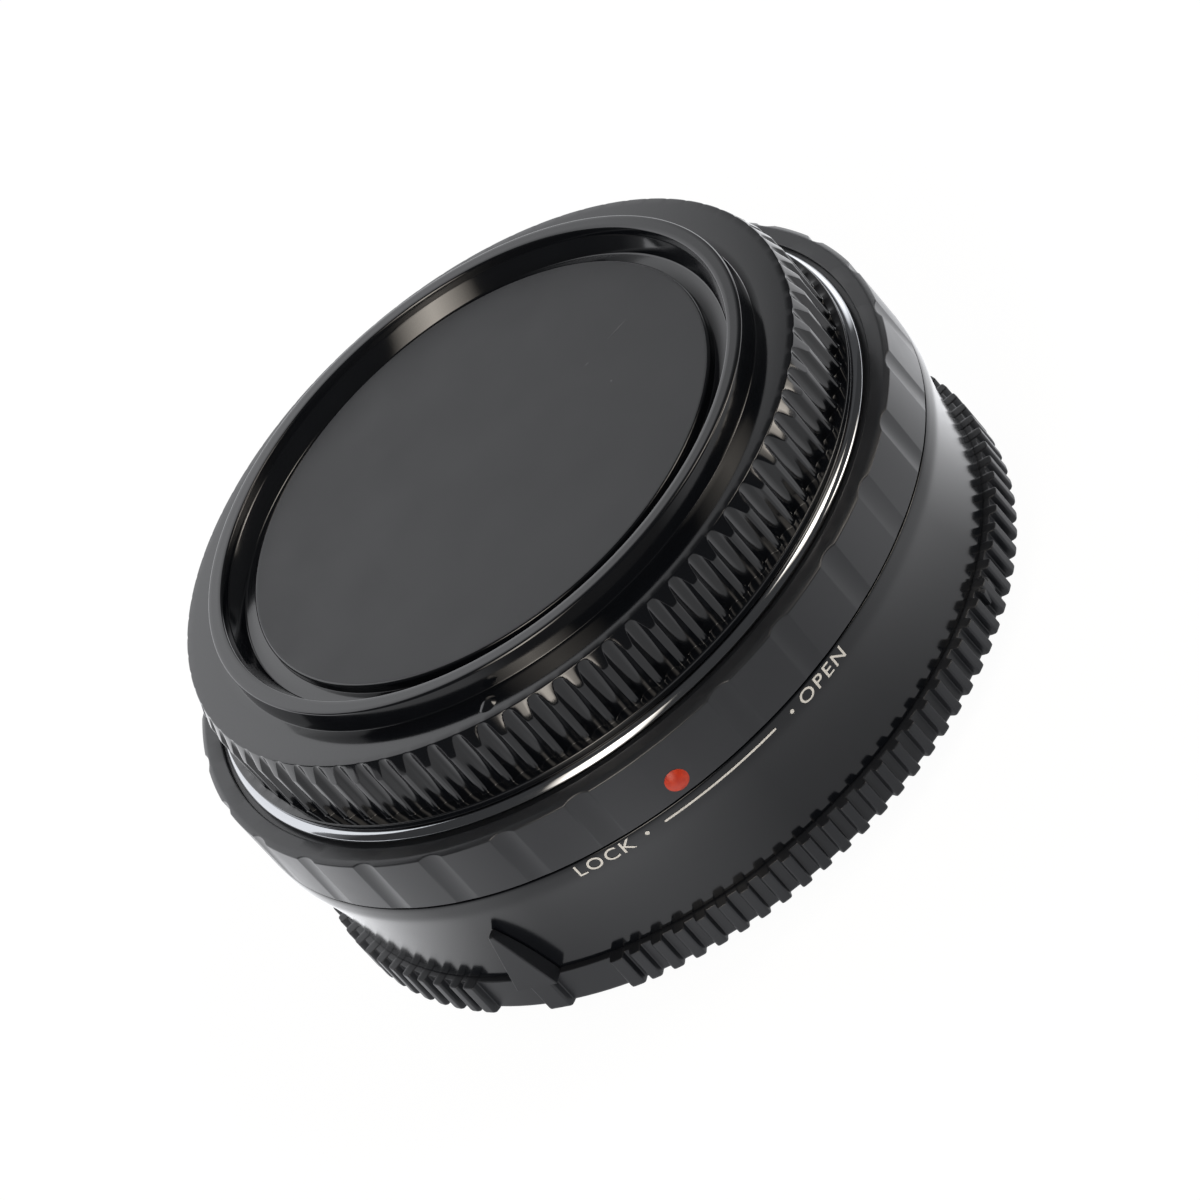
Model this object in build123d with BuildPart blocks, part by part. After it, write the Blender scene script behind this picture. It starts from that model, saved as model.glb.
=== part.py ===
"""Lens mount adapter with its two caps on: a barrel with a turning lock ring,
a bright lens mount at the top and a bright camera mount at the bottom.

Millimetres.  +Z is the optical axis, pointing to the lens.  Z = 0 is the foot
of the rear cap.  The user's side of the adapter faces -Y.
"""

import os
from math import atan2, cos, degrees, radians, sin

from build123d import *

os.makedirs("parts", exist_ok=True)

# Clearances
run_fit = 0.30         # radial running clearance of the lock ring on its collar
ring_float = 0.16      # axial gap between the barrel's shoulder and the lock ring
lip_gap = 0.10         # axial gap between the lock ring and the bright lip
seat_gap = 0.10        # axial gap under a cap that is closed on its mount
skirt_gap = 0.18       # axial gap between the rear cap's rim and the barrel
lug_gap = 0.30         # axial gap between a cap's lug and the mount's lug
cap_lug_room = 0.40    # radial gap between a front cap lug and the neck
rear_lug_room = 0.50   # radial gap between a rear cap lug and the tube
bore_room = 0.20       # radial step from the barrel's bore to the lens mount's throat
pocket_room = 0.15     # radial gap round the camera mount's flange
tube_gap = 0.47        # axial gap between the tube and the rear cap's floor
lever_lift = 0.02      # axial gap under the aperture lever's head
lever_room = 0.12      # room round the aperture lever's head
spring_rub = 0.08      # radial gap left between the leaf and the lock ring
spring_room = 0.10     # room above and below the leaf
screw_room = 0.02      # room between a screw and its hole
hole_bottom = 0.40     # depth of a tapped hole below its screw
sink = 0.10            # how far a raised form starts inside its neighbour
lug_sink = 0.30        # how far a lug starts inside its wall
cut_over = 0.20        # how far a cut runs past the face it opens
screw_sides = 12       # flats that stand for the round of a screw

# Levels along the axis
rear_rim = 5.87            # top of the rear cap's rim
register = 16.50           # lens flange to camera flange
lip_thickness = 0.64       # bright lip over the lock ring
lens_seat_depth = 2.02
lock_height = 5.33
band_height = 1.39         # lettered band at the barrel's top
camera_face = rear_rim + seat_gap
barrel_foot = rear_rim + skirt_gap
lens_face = camera_face + register
lens_seat = lens_face - lens_seat_depth
lip_foot = lens_face - lip_thickness
lock_top = lip_foot - lip_gap
lock_foot = lock_top - lock_height
barrel_top = lock_foot - ring_float
band_foot = barrel_top - band_height
front_cap_foot = lens_face + seat_gap

# Barrel
band_radius = 32.00
band_draft = 0.05
waist_depth = 1.35
skirt_wall = 1.35
collar_step = 2.90         # shoulder that the lock ring runs on
collar_wall = 4.90
camera_flange_thickness = 2.00
band_top_radius = band_radius - band_draft
skirt_radius = band_radius - waist_depth
camera_pocket_radius = skirt_radius - skirt_wall
collar_radius = band_radius - collar_step
bore_radius = collar_radius - collar_wall

# Lock ring
lock_radius = band_radius
lock_bore = collar_radius + run_fit
lock_chamfer = 0.40
groove_half = 1.08
groove_floor_half = 0.52
groove_depth = 0.50
groove_end = 0.30          # from the ring's foot to where a groove has run out
groove_pitch = 12.0        # degrees
groove_count = 29
dot_angle = -97.80
dot_height = 1.45          # from the ring's foot to the dot's middle
dot_level = lock_foot + dot_height
dot_radius = 0.97
dot_depth = 0.55
dot_rise = 0.40
dot_slope = 50.0           # degrees that the dot's shoulder leans in
dot_sides = 24
to_lock_mark = 7.90        # degrees of turn from rest to the LOCK mark
to_open_mark = 17.50       # degrees of turn from rest to the OPEN mark

# Aperture lever, carried by the lock ring
lever_angle = 90.0
lever_thickness = 1.10
lever_half = 1.50
lever_reach = 3.00         # from the bore to the lever's tip
lever_head_half = 3.50
lever_head_step = 0.20
lever_head_wall = 1.00     # lock ring left outside the lever's head
lever_foot = lock_foot + lever_lift
lever_top = lever_foot + lever_thickness
lever_tip = bore_radius - lever_reach
lever_head_inner = lock_bore + lever_head_step
lever_head_outer = lock_radius - lever_head_wall
slot_room = 0.9            # degrees left at each end of the slot
slot_headroom = 0.38
slot_top = lever_top + slot_headroom
pin_radius = 1.00
pin_inset = 1.20           # from the lever's tip to the pin's middle
pin_reach = lever_tip + pin_inset
pin_rise = 0.95            # above the lens mount's seat
pin_top = lens_seat + pin_rise
lever_screw_turn = 4.35    # degrees from the lever's middle to each screw
lever_screw_reach = (lever_head_inner + lever_head_outer) / 2
lever_screw_radius = 0.60
lever_screw_head = 1.00
lever_screw_length = 2.90

# Friction spring in the collar
spring_angle = 215.0
spring_half_angle = 16.0
spring_end_room = 0.6      # degrees left at each end of the leaf
spring_rise = 1.50         # from the lock ring's foot to the pocket's foot
spring_foot = lock_foot + spring_rise
spring_height = 1.80
spring_thickness = 0.25
spring_pocket_depth = 0.60

# Lens mount
neck_wall = 1.40
neck_height = 3.13
lip_reach = 0.78           # bright lip beyond the collar
lens_lug_reach = 1.35
lug_thickness = 1.30
throat_radius = bore_radius - bore_room
neck_radius = throat_radius + neck_wall
lens_lip_radius = collar_radius + lip_reach
neck_top = lens_face + neck_height
lens_lug_radius = neck_radius + lens_lug_reach
lens_lug_foot = neck_top - lug_thickness
lens_lug_angle = 45.0
lens_screw_step = 1.90
lens_screw_reach = neck_radius + lens_screw_step
lens_screw_radius = 0.80
lens_screw_head = 1.45
lens_screw_length = 4.60
lens_screw_angle = 45.0    # first of four

# Camera mount
rear_floor = 1.30          # thickness of the rear cap's floor, under the tube
camera_flange_width = 8.90
tube_wall = 1.80
camera_lug_reach = 1.50
tube_radius = camera_pocket_radius - camera_flange_width
tube_bore = tube_radius - tube_wall
tube_foot = rear_floor + tube_gap
camera_lug_radius = tube_radius + camera_lug_reach
camera_lug_top = tube_foot + lug_thickness
camera_lug_angle = 46.0
camera_screw_inset = 2.50
camera_screw_reach = camera_pocket_radius - camera_screw_inset
camera_screw_radius = 0.80
camera_screw_head = 1.45
camera_screw_length = 4.20
camera_screw_angle = 0.0   # first of four
lock_hole_radius = 1.40
lock_hole_step = 4.20
lock_hole_reach = tube_radius + lock_hole_step
lock_hole_angle = 200.0
lock_hole_depth = 1.20

# Rear cap
rear_flange_height = 3.27  # ribbed flange
rear_plate_drop = 1.27     # from the rim down to the plate
rear_well_room = 1.30      # radial room for the camera mount's lugs
rear_foot_wall = 1.50
rear_skirt_step = 0.47     # beyond the barrel's skirt
rear_skirt_wall = 1.52
rear_rib_height = 0.63
rear_cap_step = rear_rim - rear_flange_height
rear_plate = rear_rim - rear_plate_drop
rear_well_radius = camera_lug_radius + rear_well_room
rear_foot_radius = rear_well_radius + rear_foot_wall
rear_skirt_radius = skirt_radius + rear_skirt_step
rear_skirt_inner = rear_skirt_radius - rear_skirt_wall
rear_rib_crest = rear_skirt_radius + rear_rib_height
rear_lug_inner = tube_radius + rear_lug_room
rear_lug_angle = 44.0
rear_rib_pitch = 3.60      # degrees
rear_rib_half_root = 0.54
rear_rib_half_crest = 0.42
rear_rib_count = 92
rear_bare_pitches = 4.5    # pitches from the pointer to the first even rib
end_rib_angle = 13.20      # first rib on each side of the plain stretch
end_rib_half_crest = 0.58
end_rib_flare = 0.15       # half width gained from an end rib's crest to its root
pointer_angle = -135.40
pointer_rib_half = 1.05
pointer_rib_flare = 0.10
pointer_half = 1.98
pointer_tip_half = 0.22
pointer_drop = 2.70        # from the band's foot to the pointer's tip
pointer_stand = 0.40       # pointer's face beyond the ribs
pointer_back_foot = 0.30   # pointer's back beyond the barrel's skirt, at its foot
pointer_back_top = 0.90    # and at its tip
pointer_top = band_foot - pointer_drop
pointer_face = rear_rib_crest + pointer_stand
index_pitches = 25.5       # rib pitches from the pointer to the index rib
index_angle = pointer_angle + index_pitches * rear_rib_pitch
index_half = 1.05
index_height = 1.67
index_face_height = 0.60   # upright part of the index rib's face
index_foot = rear_rim - index_height

# Front cap
rim_inset = 0.58           # rim inside the bright lip
grip_inset = 0.64
grip_lean = 0.56           # slope from the grip in to the flange
cap_wall = 2.15
flange_width = 3.40
ring_width = 1.30
ring_slope = 0.93          # slope of the raised ring's inner wall
ring_draft = 0.25          # lean of its outer wall
moat_width = 1.39
cap_headroom = 1.75        # from the lens mount's neck to the plate
cap_plate = 1.65
grip_drop = 1.58           # height of the slope
disc_rise = 0.81           # from the flange, and the moat's floor, up to the disc
ring_rise = 1.16
flute_rise = 0.55          # from the cap's foot to the flutes
rim_radius = lens_lip_radius - rim_inset
grip_radius = rim_radius - grip_inset
flange_radius = grip_radius - grip_lean
cap_inner_radius = rim_radius - cap_wall
ring_outer = flange_radius - flange_width
ring_inner = ring_outer - ring_width
moat_radius = ring_inner - ring_slope
disc_radius = moat_radius - moat_width
cap_plate_foot = neck_top + cap_headroom
flange_level = cap_plate_foot + cap_plate
grip_shoulder = flange_level - grip_drop
disc_level = flange_level + disc_rise
ring_top = disc_level + ring_rise
flute_count = 78
flute_half = 0.87
flute_floor_half = 0.42
flute_depth = 0.50
flute_foot = front_cap_foot + flute_rise
land_angle = -90.85
cap_lug_angle = 44.0
cap_lug_inner = neck_radius + cap_lug_room
bump_angle = -114.8
bump_step = 1.70           # from the raised ring to the bead's middle
bump_reach = ring_outer + bump_step
bump_radius = 0.83
bump_rise = 0.45
bump_slope = 40.0          # degrees that the bead's side leans in


def around(angle, reach, level=0.0):
    """A point on the adapter at an angle, a distance from the axis and a level."""
    return (reach * cos(radians(angle)), reach * sin(radians(angle)), level)


def facing(angle):
    """Upright plane through the axis that looks outwards; its y is +Z."""
    turn = radians(angle)
    return Plane((0, 0, 0), x_dir=(-sin(turn), cos(turn), 0), z_dir=(cos(turn), sin(turn), 0))


def upright(angle):
    """Plane through the axis that holds the axis; its x points outwards."""
    turn = radians(angle)
    return Plane((0, 0, 0), x_dir=(cos(turn), sin(turn), 0), z_dir=(sin(turn), -cos(turn), 0))


def countersunk(level, way, places, head, shank, length, room=0.0, bottom=0.0):
    """A set of countersunk screws, or of the holes for them when there is room."""
    with BuildPart() as screws:
        with BuildSketch(Plane.XY.offset(level)):
            with Locations(*places):
                RegularPolygon(head + room, screw_sides)
        extrude(amount=head - shank, taper=45)
        with BuildSketch(Plane.XY.offset(level)):
            with Locations(*places):
                RegularPolygon(shank + room, screw_sides)
        extrude(amount=length + bottom)
        if way < 0:
            mirror(about=Plane.XY.offset(level), mode=Mode.REPLACE)
    return screws.part


def scoop(surface, half, floor, floor_half):
    """Corners of a groove cut into a round wall, local x outwards from the axis."""
    slope = (half - floor_half) / (surface - floor)
    mouth = half + slope * sink
    return (
        (floor, -floor_half),
        (surface + sink, -mouth),
        (surface + sink, mouth),
        (floor, floor_half),
    )


quarters = (0, 90, 180, 270)
lens_screw_places = [around(lens_screw_angle + turn, lens_screw_reach)[:2] for turn in quarters]
camera_screw_places = [around(camera_screw_angle + turn, camera_screw_reach)[:2] for turn in quarters]
lever_screw_places = [
    around(lever_angle + turn, lever_screw_reach)[:2] for turn in (-lever_screw_turn, lever_screw_turn)
]
lens_screw_set = (lens_face, -1, lens_screw_places, lens_screw_head, lens_screw_radius, lens_screw_length)
camera_screw_set = (camera_face, 1, camera_screw_places, camera_screw_head, camera_screw_radius,
                    camera_screw_length)
lever_screw_set = (lever_foot, 1, lever_screw_places, lever_screw_head, lever_screw_radius,
                   lever_screw_length)

# Rear cap's pointer: a triangular plate standing over the barrel
with BuildPart() as pointer:
    with BuildSketch(facing(pointer_angle)):
        with BuildLine():
            Polyline(
                (-pointer_half, rear_rim - sink),
                (pointer_half, rear_rim - sink),
                (pointer_tip_half, pointer_top),
                (-pointer_tip_half, pointer_top),
                close=True,
            )
        make_face()
    extrude(amount=pointer_face + cut_over)
    with BuildSketch(Plane.XZ):
        with BuildLine():
            Polyline(
                (skirt_radius + pointer_back_foot, rear_rim - sink),
                (pointer_face, rear_rim - sink),
                (pointer_face, pointer_top),
                (skirt_radius + pointer_back_top, pointer_top),
                close=True,
            )
        make_face()
    revolve(axis=Axis.Z, mode=Mode.INTERSECT)

with BuildPart() as rear_cap:
    with BuildSketch(Plane.XZ):
        with BuildLine():
            Polyline(
                (0, 0),
                (rear_foot_radius, 0),
                (rear_foot_radius, rear_cap_step),
                (rear_skirt_radius, rear_cap_step),
                (rear_skirt_radius, rear_rim),
                (rear_skirt_inner, rear_rim),
                (rear_skirt_inner, rear_plate),
                (rear_well_radius, rear_plate),
                (rear_well_radius, rear_floor),
                (0, rear_floor),
                close=True,
            )
        make_face()
    revolve(axis=Axis.Z)
    # Bayonet lugs that hook over the lugs of the camera mount
    with BuildSketch(Plane.XY.offset(camera_lug_top + lug_gap)):
        with PolarLocations(0, 3, start_angle=-rear_lug_angle / 2):
            with BuildLine():
                inner = CenterArc((0, 0), rear_lug_inner, 0, rear_lug_angle)
                outer = CenterArc((0, 0), rear_well_radius + lug_sink, 0, rear_lug_angle)
                Line(inner @ 0, outer @ 0)
                Line(inner @ 1, outer @ 1)
            make_face()
    extrude(amount=rear_plate - camera_lug_top - lug_gap)
    # Ribs round the grip, with a plain stretch on each side of the pointer
    with BuildSketch(Plane.XY.offset(rear_cap_step)):
        with PolarLocations(
            0,
            rear_rib_count,
            start_angle=pointer_angle + rear_bare_pitches * rear_rib_pitch,
            angular_range=360 - 2 * rear_bare_pitches * rear_rib_pitch,
            endpoint=True,
        ):
            Polygon(
                (rear_skirt_radius - sink, -rear_rib_half_root),
                (rear_rib_crest, -rear_rib_half_crest),
                (rear_rib_crest, rear_rib_half_crest),
                (rear_skirt_radius - sink, rear_rib_half_root),
                align=None,
            )
        with PolarLocations(0, 2, start_angle=pointer_angle - end_rib_angle,
                            angular_range=2 * end_rib_angle, endpoint=True):
            Polygon(
                (rear_skirt_radius - sink, -end_rib_half_crest - end_rib_flare),
                (rear_rib_crest, -end_rib_half_crest),
                (rear_rib_crest, end_rib_half_crest),
                (rear_skirt_radius - sink, end_rib_half_crest + end_rib_flare),
                align=None,
            )
        with PolarLocations(0, 1, start_angle=pointer_angle):
            Polygon(
                (rear_skirt_radius - sink, -pointer_rib_half - pointer_rib_flare),
                (rear_rib_crest, -pointer_rib_half),
                (rear_rib_crest, pointer_rib_half),
                (rear_skirt_radius - sink, pointer_rib_half + pointer_rib_flare),
                align=None,
            )
    extrude(amount=rear_rim - rear_cap_step)
    # Squared index rib, a quarter turn from the pointer
    with BuildSketch(upright(index_angle)):
        with BuildLine():
            Polyline(
                (rear_skirt_radius - sink, rear_rim),
                (pointer_face, rear_rim),
                (pointer_face, rear_rim - index_face_height),
                (rear_rib_crest, index_foot),
                (rear_skirt_radius - sink, index_foot),
                close=True,
            )
        make_face()
    extrude(amount=index_half, both=True)
    add(pointer.part)

rear_cap.part.label = "rear_cap"
export_step(rear_cap.part, "parts/rear_cap.step")

# The waist is a hollow curve that stands upright at the barrel's foot, in short cones
waist_cones = 3
waist_points = [
    (
        skirt_radius + (band_radius - skirt_radius) * (step / waist_cones) ** 2,
        barrel_foot + (band_foot - barrel_foot) * step / waist_cones,
    )
    for step in range(waist_cones + 1)
]

with BuildPart() as body_barrel:
    with BuildSketch(Plane.XZ):
        with BuildLine():
            Polyline(
                *waist_points,
                (band_top_radius, barrel_top),
                (collar_radius, barrel_top),
                (collar_radius, lens_seat),
                (bore_radius, lens_seat),
                (bore_radius, camera_face + camera_flange_thickness),
                (camera_pocket_radius, camera_face + camera_flange_thickness),
                (camera_pocket_radius, barrel_foot),
                close=True,
            )
        make_face()
    revolve(axis=Axis.Z)
    # Slot that lets the aperture lever swing
    lever_sweep = degrees(lever_half / bore_radius) + slot_room
    slot_start = lever_angle - to_lock_mark - lever_sweep
    slot_span = to_lock_mark + to_open_mark + 2 * lever_sweep
    with BuildSketch(Plane.XY.offset(barrel_top)):
        with BuildLine():
            near = CenterArc((0, 0), bore_radius - cut_over, slot_start, slot_span)
            far = CenterArc((0, 0), collar_radius + cut_over, slot_start, slot_span)
            Line(near @ 0, far @ 0)
            Line(near @ 1, far @ 1)
        make_face()
    extrude(amount=slot_top - barrel_top, mode=Mode.SUBTRACT)
    # Pocket for the friction spring
    with BuildSketch(Plane.XY.offset(spring_foot)):
        with BuildLine():
            near = CenterArc((0, 0), collar_radius - spring_pocket_depth,
                             spring_angle - spring_half_angle, 2 * spring_half_angle)
            far = CenterArc((0, 0), collar_radius + cut_over,
                            spring_angle - spring_half_angle, 2 * spring_half_angle)
            Line(near @ 0, far @ 0)
            Line(near @ 1, far @ 1)
        make_face()
    extrude(amount=spring_height, mode=Mode.SUBTRACT)
    # Tapped holes for the two mounts
    add(countersunk(*lens_screw_set, screw_room, hole_bottom), mode=Mode.SUBTRACT)
    add(countersunk(*camera_screw_set, screw_room, hole_bottom), mode=Mode.SUBTRACT)

body_barrel.part.label = "body_barrel"
export_step(body_barrel.part, "parts/body_barrel.step")

# Bowed leaf: its ends stand on the pocket's floor and its middle rubs on the lock ring
with BuildPart() as friction_spring:
    leaf_end = spring_half_angle - spring_end_room
    leaf_root = collar_radius - spring_pocket_depth
    leaf_crest = lock_bore - spring_rub - spring_thickness
    with BuildSketch(Plane.XY.offset(spring_foot + spring_room)):
        with BuildLine():
            back = ThreePointArc(
                around(spring_angle - leaf_end, leaf_root, 0),
                around(spring_angle, leaf_crest, 0),
                around(spring_angle + leaf_end, leaf_root, 0),
            )
            face = ThreePointArc(
                around(spring_angle - leaf_end, leaf_root + spring_thickness, 0),
                around(spring_angle, leaf_crest + spring_thickness, 0),
                around(spring_angle + leaf_end, leaf_root + spring_thickness, 0),
            )
            Line(back @ 0, face @ 0)
            Line(back @ 1, face @ 1)
        make_face()
    extrude(amount=spring_height - 2 * spring_room)

friction_spring.part.label = "friction_spring"
export_step(friction_spring.part, "parts/friction_spring.step")

with BuildPart() as camera_mount:
    with BuildSketch(Plane.XZ):
        with BuildLine():
            Polyline(
                (tube_bore, tube_foot),
                (tube_radius, tube_foot),
                (tube_radius, camera_face),
                (camera_pocket_radius - pocket_room, camera_face),
                (camera_pocket_radius - pocket_room, camera_face + camera_flange_thickness),
                (tube_bore, camera_face + camera_flange_thickness),
                close=True,
            )
        make_face()
    revolve(axis=Axis.Z)
    with BuildSketch(Plane.XY.offset(tube_foot)):
        with PolarLocations(0, 3, start_angle=-camera_lug_angle / 2):
            with BuildLine():
                inner = CenterArc((0, 0), tube_radius - lug_sink, 0, camera_lug_angle)
                outer = CenterArc((0, 0), camera_lug_radius, 0, camera_lug_angle)
                Line(inner @ 0, outer @ 0)
                Line(inner @ 1, outer @ 1)
            make_face()
    extrude(amount=camera_lug_top - tube_foot)
    add(countersunk(*camera_screw_set, screw_room, hole_bottom), mode=Mode.SUBTRACT)
    with BuildSketch(Plane.XY.offset(camera_face)):
        with PolarLocations(lock_hole_reach, 1, start_angle=lock_hole_angle):
            Circle(lock_hole_radius)
    extrude(amount=lock_hole_depth, mode=Mode.SUBTRACT)

camera_mount.part.label = "camera_mount"
export_step(camera_mount.part, "parts/camera_mount.step")

with BuildPart() as camera_mount_screws:
    add(countersunk(*camera_screw_set))

camera_mount_screws.part.label = "camera_mount_screws"
export_step(camera_mount_screws.part, "parts/camera_mount_screws.step")

with BuildPart() as lens_mount:
    with BuildSketch(Plane.XZ):
        with BuildLine():
            Polyline(
                (throat_radius, lens_seat),
                (collar_radius, lens_seat),
                (collar_radius, lip_foot),
                (lens_lip_radius, lip_foot),
                (lens_lip_radius, lens_face),
                (neck_radius, lens_face),
                (neck_radius, neck_top),
                (throat_radius, neck_top),
                close=True,
            )
        make_face()
    revolve(axis=Axis.Z)
    with BuildSketch(Plane.XY.offset(lens_lug_foot)):
        with PolarLocations(0, 3, start_angle=-lens_lug_angle / 2):
            with BuildLine():
                inner = CenterArc((0, 0), neck_radius - lug_sink, 0, lens_lug_angle)
                outer = CenterArc((0, 0), lens_lug_radius, 0, lens_lug_angle)
                Line(inner @ 0, outer @ 0)
                Line(inner @ 1, outer @ 1)
            make_face()
    extrude(amount=neck_top - lens_lug_foot)
    add(countersunk(*lens_screw_set, screw_room, hole_bottom), mode=Mode.SUBTRACT)

lens_mount.part.label = "lens_mount"
export_step(lens_mount.part, "parts/lens_mount.step")

with BuildPart() as lens_mount_screws:
    add(countersunk(*lens_screw_set))

lens_mount_screws.part.label = "lens_mount_screws"
export_step(lens_mount_screws.part, "parts/lens_mount_screws.step")

# Scooped grip grooves, one left out where the index dot sits, that run out towards the foot
with BuildPart() as grooves:
    with BuildSketch(Plane.XY.offset(lock_foot)):
        with PolarLocations(
            0,
            groove_count,
            start_angle=dot_angle + groove_pitch,
            angular_range=groove_pitch * (groove_count - 1),
            endpoint=True,
        ):
            Polygon(
                *scoop(lock_radius, groove_half, lock_radius - groove_depth, groove_floor_half),
                align=None,
            )
    extrude(amount=lock_top - lock_foot)
    with BuildSketch(Plane.XZ):
        with BuildLine():
            Polyline(
                (lock_radius, lock_foot + groove_end),
                (lock_radius + cut_over, lock_foot + groove_end),
                (lock_radius + cut_over, lock_top),
                (lock_radius - groove_depth - sink, lock_top),
                close=True,
            )
        make_face()
    revolve(axis=Axis.Z, mode=Mode.INTERSECT)

with BuildPart() as lock_ring:
    with BuildSketch(Plane.XZ):
        with BuildLine():
            Polyline(
                (lock_bore, lock_foot),
                (lock_radius, lock_foot),
                (lock_radius, lock_top - lock_chamfer),
                (lock_radius - lock_chamfer, lock_top),
                (lock_bore, lock_top),
                close=True,
            )
        make_face()
    revolve(axis=Axis.Z)
    add(grooves.part, mode=Mode.SUBTRACT)
    # Drilled seat of the index dot
    with BuildSketch(facing(dot_angle).offset(lock_radius - dot_depth)):
        with Locations((0, dot_level)):
            RegularPolygon(dot_radius, dot_sides)
    extrude(amount=dot_depth + cut_over, mode=Mode.SUBTRACT)
    # Pocket and holes for the aperture lever
    with BuildSketch(Plane.XY.offset(lock_foot)):
        with PolarLocations(0, 1, start_angle=lever_angle):
            Polygon(
                (collar_radius - cut_over, -lever_head_half - lever_room),
                (lever_head_outer + lever_room, -lever_head_half - lever_room),
                (lever_head_outer + lever_room, lever_head_half + lever_room),
                (collar_radius - cut_over, lever_head_half + lever_room),
                align=None,
            )
    extrude(amount=lever_top - lock_foot, mode=Mode.SUBTRACT)
    add(countersunk(*lever_screw_set, screw_room, hole_bottom), mode=Mode.SUBTRACT)

lock_ring.part.label = "lock_ring"
export_step(lock_ring.part, "parts/lock_ring.step")

with BuildPart() as index_dot:
    with BuildSketch(facing(dot_angle).offset(lock_radius - dot_depth)):
        with Locations((0, dot_level)):
            RegularPolygon(dot_radius, dot_sides)
    extrude(amount=dot_depth)
    with BuildSketch(facing(dot_angle).offset(lock_radius)):
        with Locations((0, dot_level)):
            RegularPolygon(dot_radius, dot_sides)
    extrude(amount=dot_rise, taper=dot_slope)

index_dot.part.label = "index_dot"
export_step(index_dot.part, "parts/index_dot.step")

with BuildPart() as aperture_lever:
    with BuildSketch(Plane.XY.offset(lever_foot)):
        with PolarLocations(0, 1, start_angle=lever_angle):
            Polygon(
                (lever_tip, -lever_half),
                (lever_head_inner, -lever_half),
                (lever_head_inner, -lever_head_half),
                (lever_head_outer, -lever_head_half),
                (lever_head_outer, lever_head_half),
                (lever_head_inner, lever_head_half),
                (lever_head_inner, lever_half),
                (lever_tip, lever_half),
                align=None,
            )
            with Locations((pin_reach, 0)):
                Circle(pin_radius, mode=Mode.SUBTRACT)
    extrude(amount=lever_thickness)
    add(countersunk(*lever_screw_set, screw_room, hole_bottom), mode=Mode.SUBTRACT)

aperture_lever.part.label = "aperture_lever"
export_step(aperture_lever.part, "parts/aperture_lever.step")

with BuildPart() as lever_pin:
    with BuildSketch(Plane.XY.offset(lever_foot)):
        with PolarLocations(pin_reach, 1, start_angle=lever_angle):
            Circle(pin_radius)
    extrude(amount=pin_top - lever_foot)

lever_pin.part.label = "lever_pin"
export_step(lever_pin.part, "parts/lever_pin.step")

with BuildPart() as lever_screws:
    add(countersunk(*lever_screw_set))

lever_screws.part.label = "lever_screws"
export_step(lever_screws.part, "parts/lever_screws.step")

with BuildPart() as front_cap:
    # Grip: a flat land between each two flutes, sloping in to the flange
    land_turn = land_angle + 180 / flute_count
    grip_slope = degrees(atan2(grip_radius - flange_radius, flange_level - grip_shoulder))
    for foot, top, lean in (
        (front_cap_foot, grip_shoulder, 0),
        (grip_shoulder, flange_level, grip_slope),
    ):
        with BuildSketch(Plane.XY.offset(foot)):
            RegularPolygon(grip_radius, flute_count, major_radius=False, rotation=land_turn)
        extrude(amount=top - foot, taper=lean)
    # The flutes run out through the slope
    with BuildSketch(Plane.XY.offset(flute_foot)):
        with PolarLocations(0, flute_count, start_angle=land_turn):
            Polygon(*scoop(grip_radius, flute_half, grip_radius - flute_depth, flute_floor_half), align=None)
    extrude(amount=flange_level - flute_foot, mode=Mode.SUBTRACT)
    # Plain rim at the foot, raised ring and disc on the top
    with BuildSketch(Plane.XZ):
        with BuildLine():
            Polyline(
                (cap_inner_radius, front_cap_foot),
                (rim_radius, front_cap_foot),
                (rim_radius, flute_foot),
                (cap_inner_radius, flute_foot),
                close=True,
            )
        make_face()
        with BuildLine():
            Polyline(
                (moat_radius, flange_level),
                (ring_inner, ring_top),
                (ring_outer, ring_top),
                (ring_outer + ring_draft, flange_level),
                (ring_outer + ring_draft, cap_plate_foot),
                (moat_radius, cap_plate_foot),
                close=True,
            )
        make_face()
    revolve(axis=Axis.Z)
    with BuildSketch(Plane.XY.offset(flange_level)):
        Circle(disc_radius)
    extrude(amount=disc_rise)
    with BuildSketch(Plane.XY.offset(front_cap_foot)):
        Circle(cap_inner_radius)
    extrude(amount=cap_plate_foot - front_cap_foot, mode=Mode.SUBTRACT)
    # Bayonet lugs that hook under the lugs of the lens mount
    with BuildSketch(Plane.XY.offset(lens_face + lug_gap)):
        with PolarLocations(0, 3, start_angle=-cap_lug_angle / 2):
            with BuildLine():
                inner = CenterArc((0, 0), cap_lug_inner, 0, cap_lug_angle)
                outer = CenterArc((0, 0), cap_inner_radius + lug_sink, 0, cap_lug_angle)
                Line(inner @ 0, outer @ 0)
                Line(inner @ 1, outer @ 1)
            make_face()
    extrude(amount=lens_lug_foot - lens_face - 2 * lug_gap)
    # Raised alignment bead on the flange
    with BuildSketch(Plane.XY.offset(flange_level)):
        with Locations(around(bump_angle, bump_reach)[:2]):
            RegularPolygon(bump_radius, screw_sides)
    extrude(amount=bump_rise, taper=bump_slope)

front_cap.part.label = "front_cap"
export_step(front_cap.part, "parts/front_cap.step")
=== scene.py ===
# %% [markdown]
# # A lens mount adapter with both its caps on
#
# The object is a short black tube that lets a lens of one system sit on a camera of
# another. From the bottom up there is a ribbed rear cap, a waisted barrel with two words
# on its band, a turning lock ring with a red dot, a thin bright lip of the lens mount, and
# a fluted front cap.
#
# The CAD model fixes where every piece is and what moves. This script gives the pieces
# their looks. Six pieces that show are made again with finer edges; the hidden ones keep
# their CAD mesh and get a material.

# %% Load the CAD model
import math

import bmesh
import bpy
from mathutils import Matrix, Vector


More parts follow.
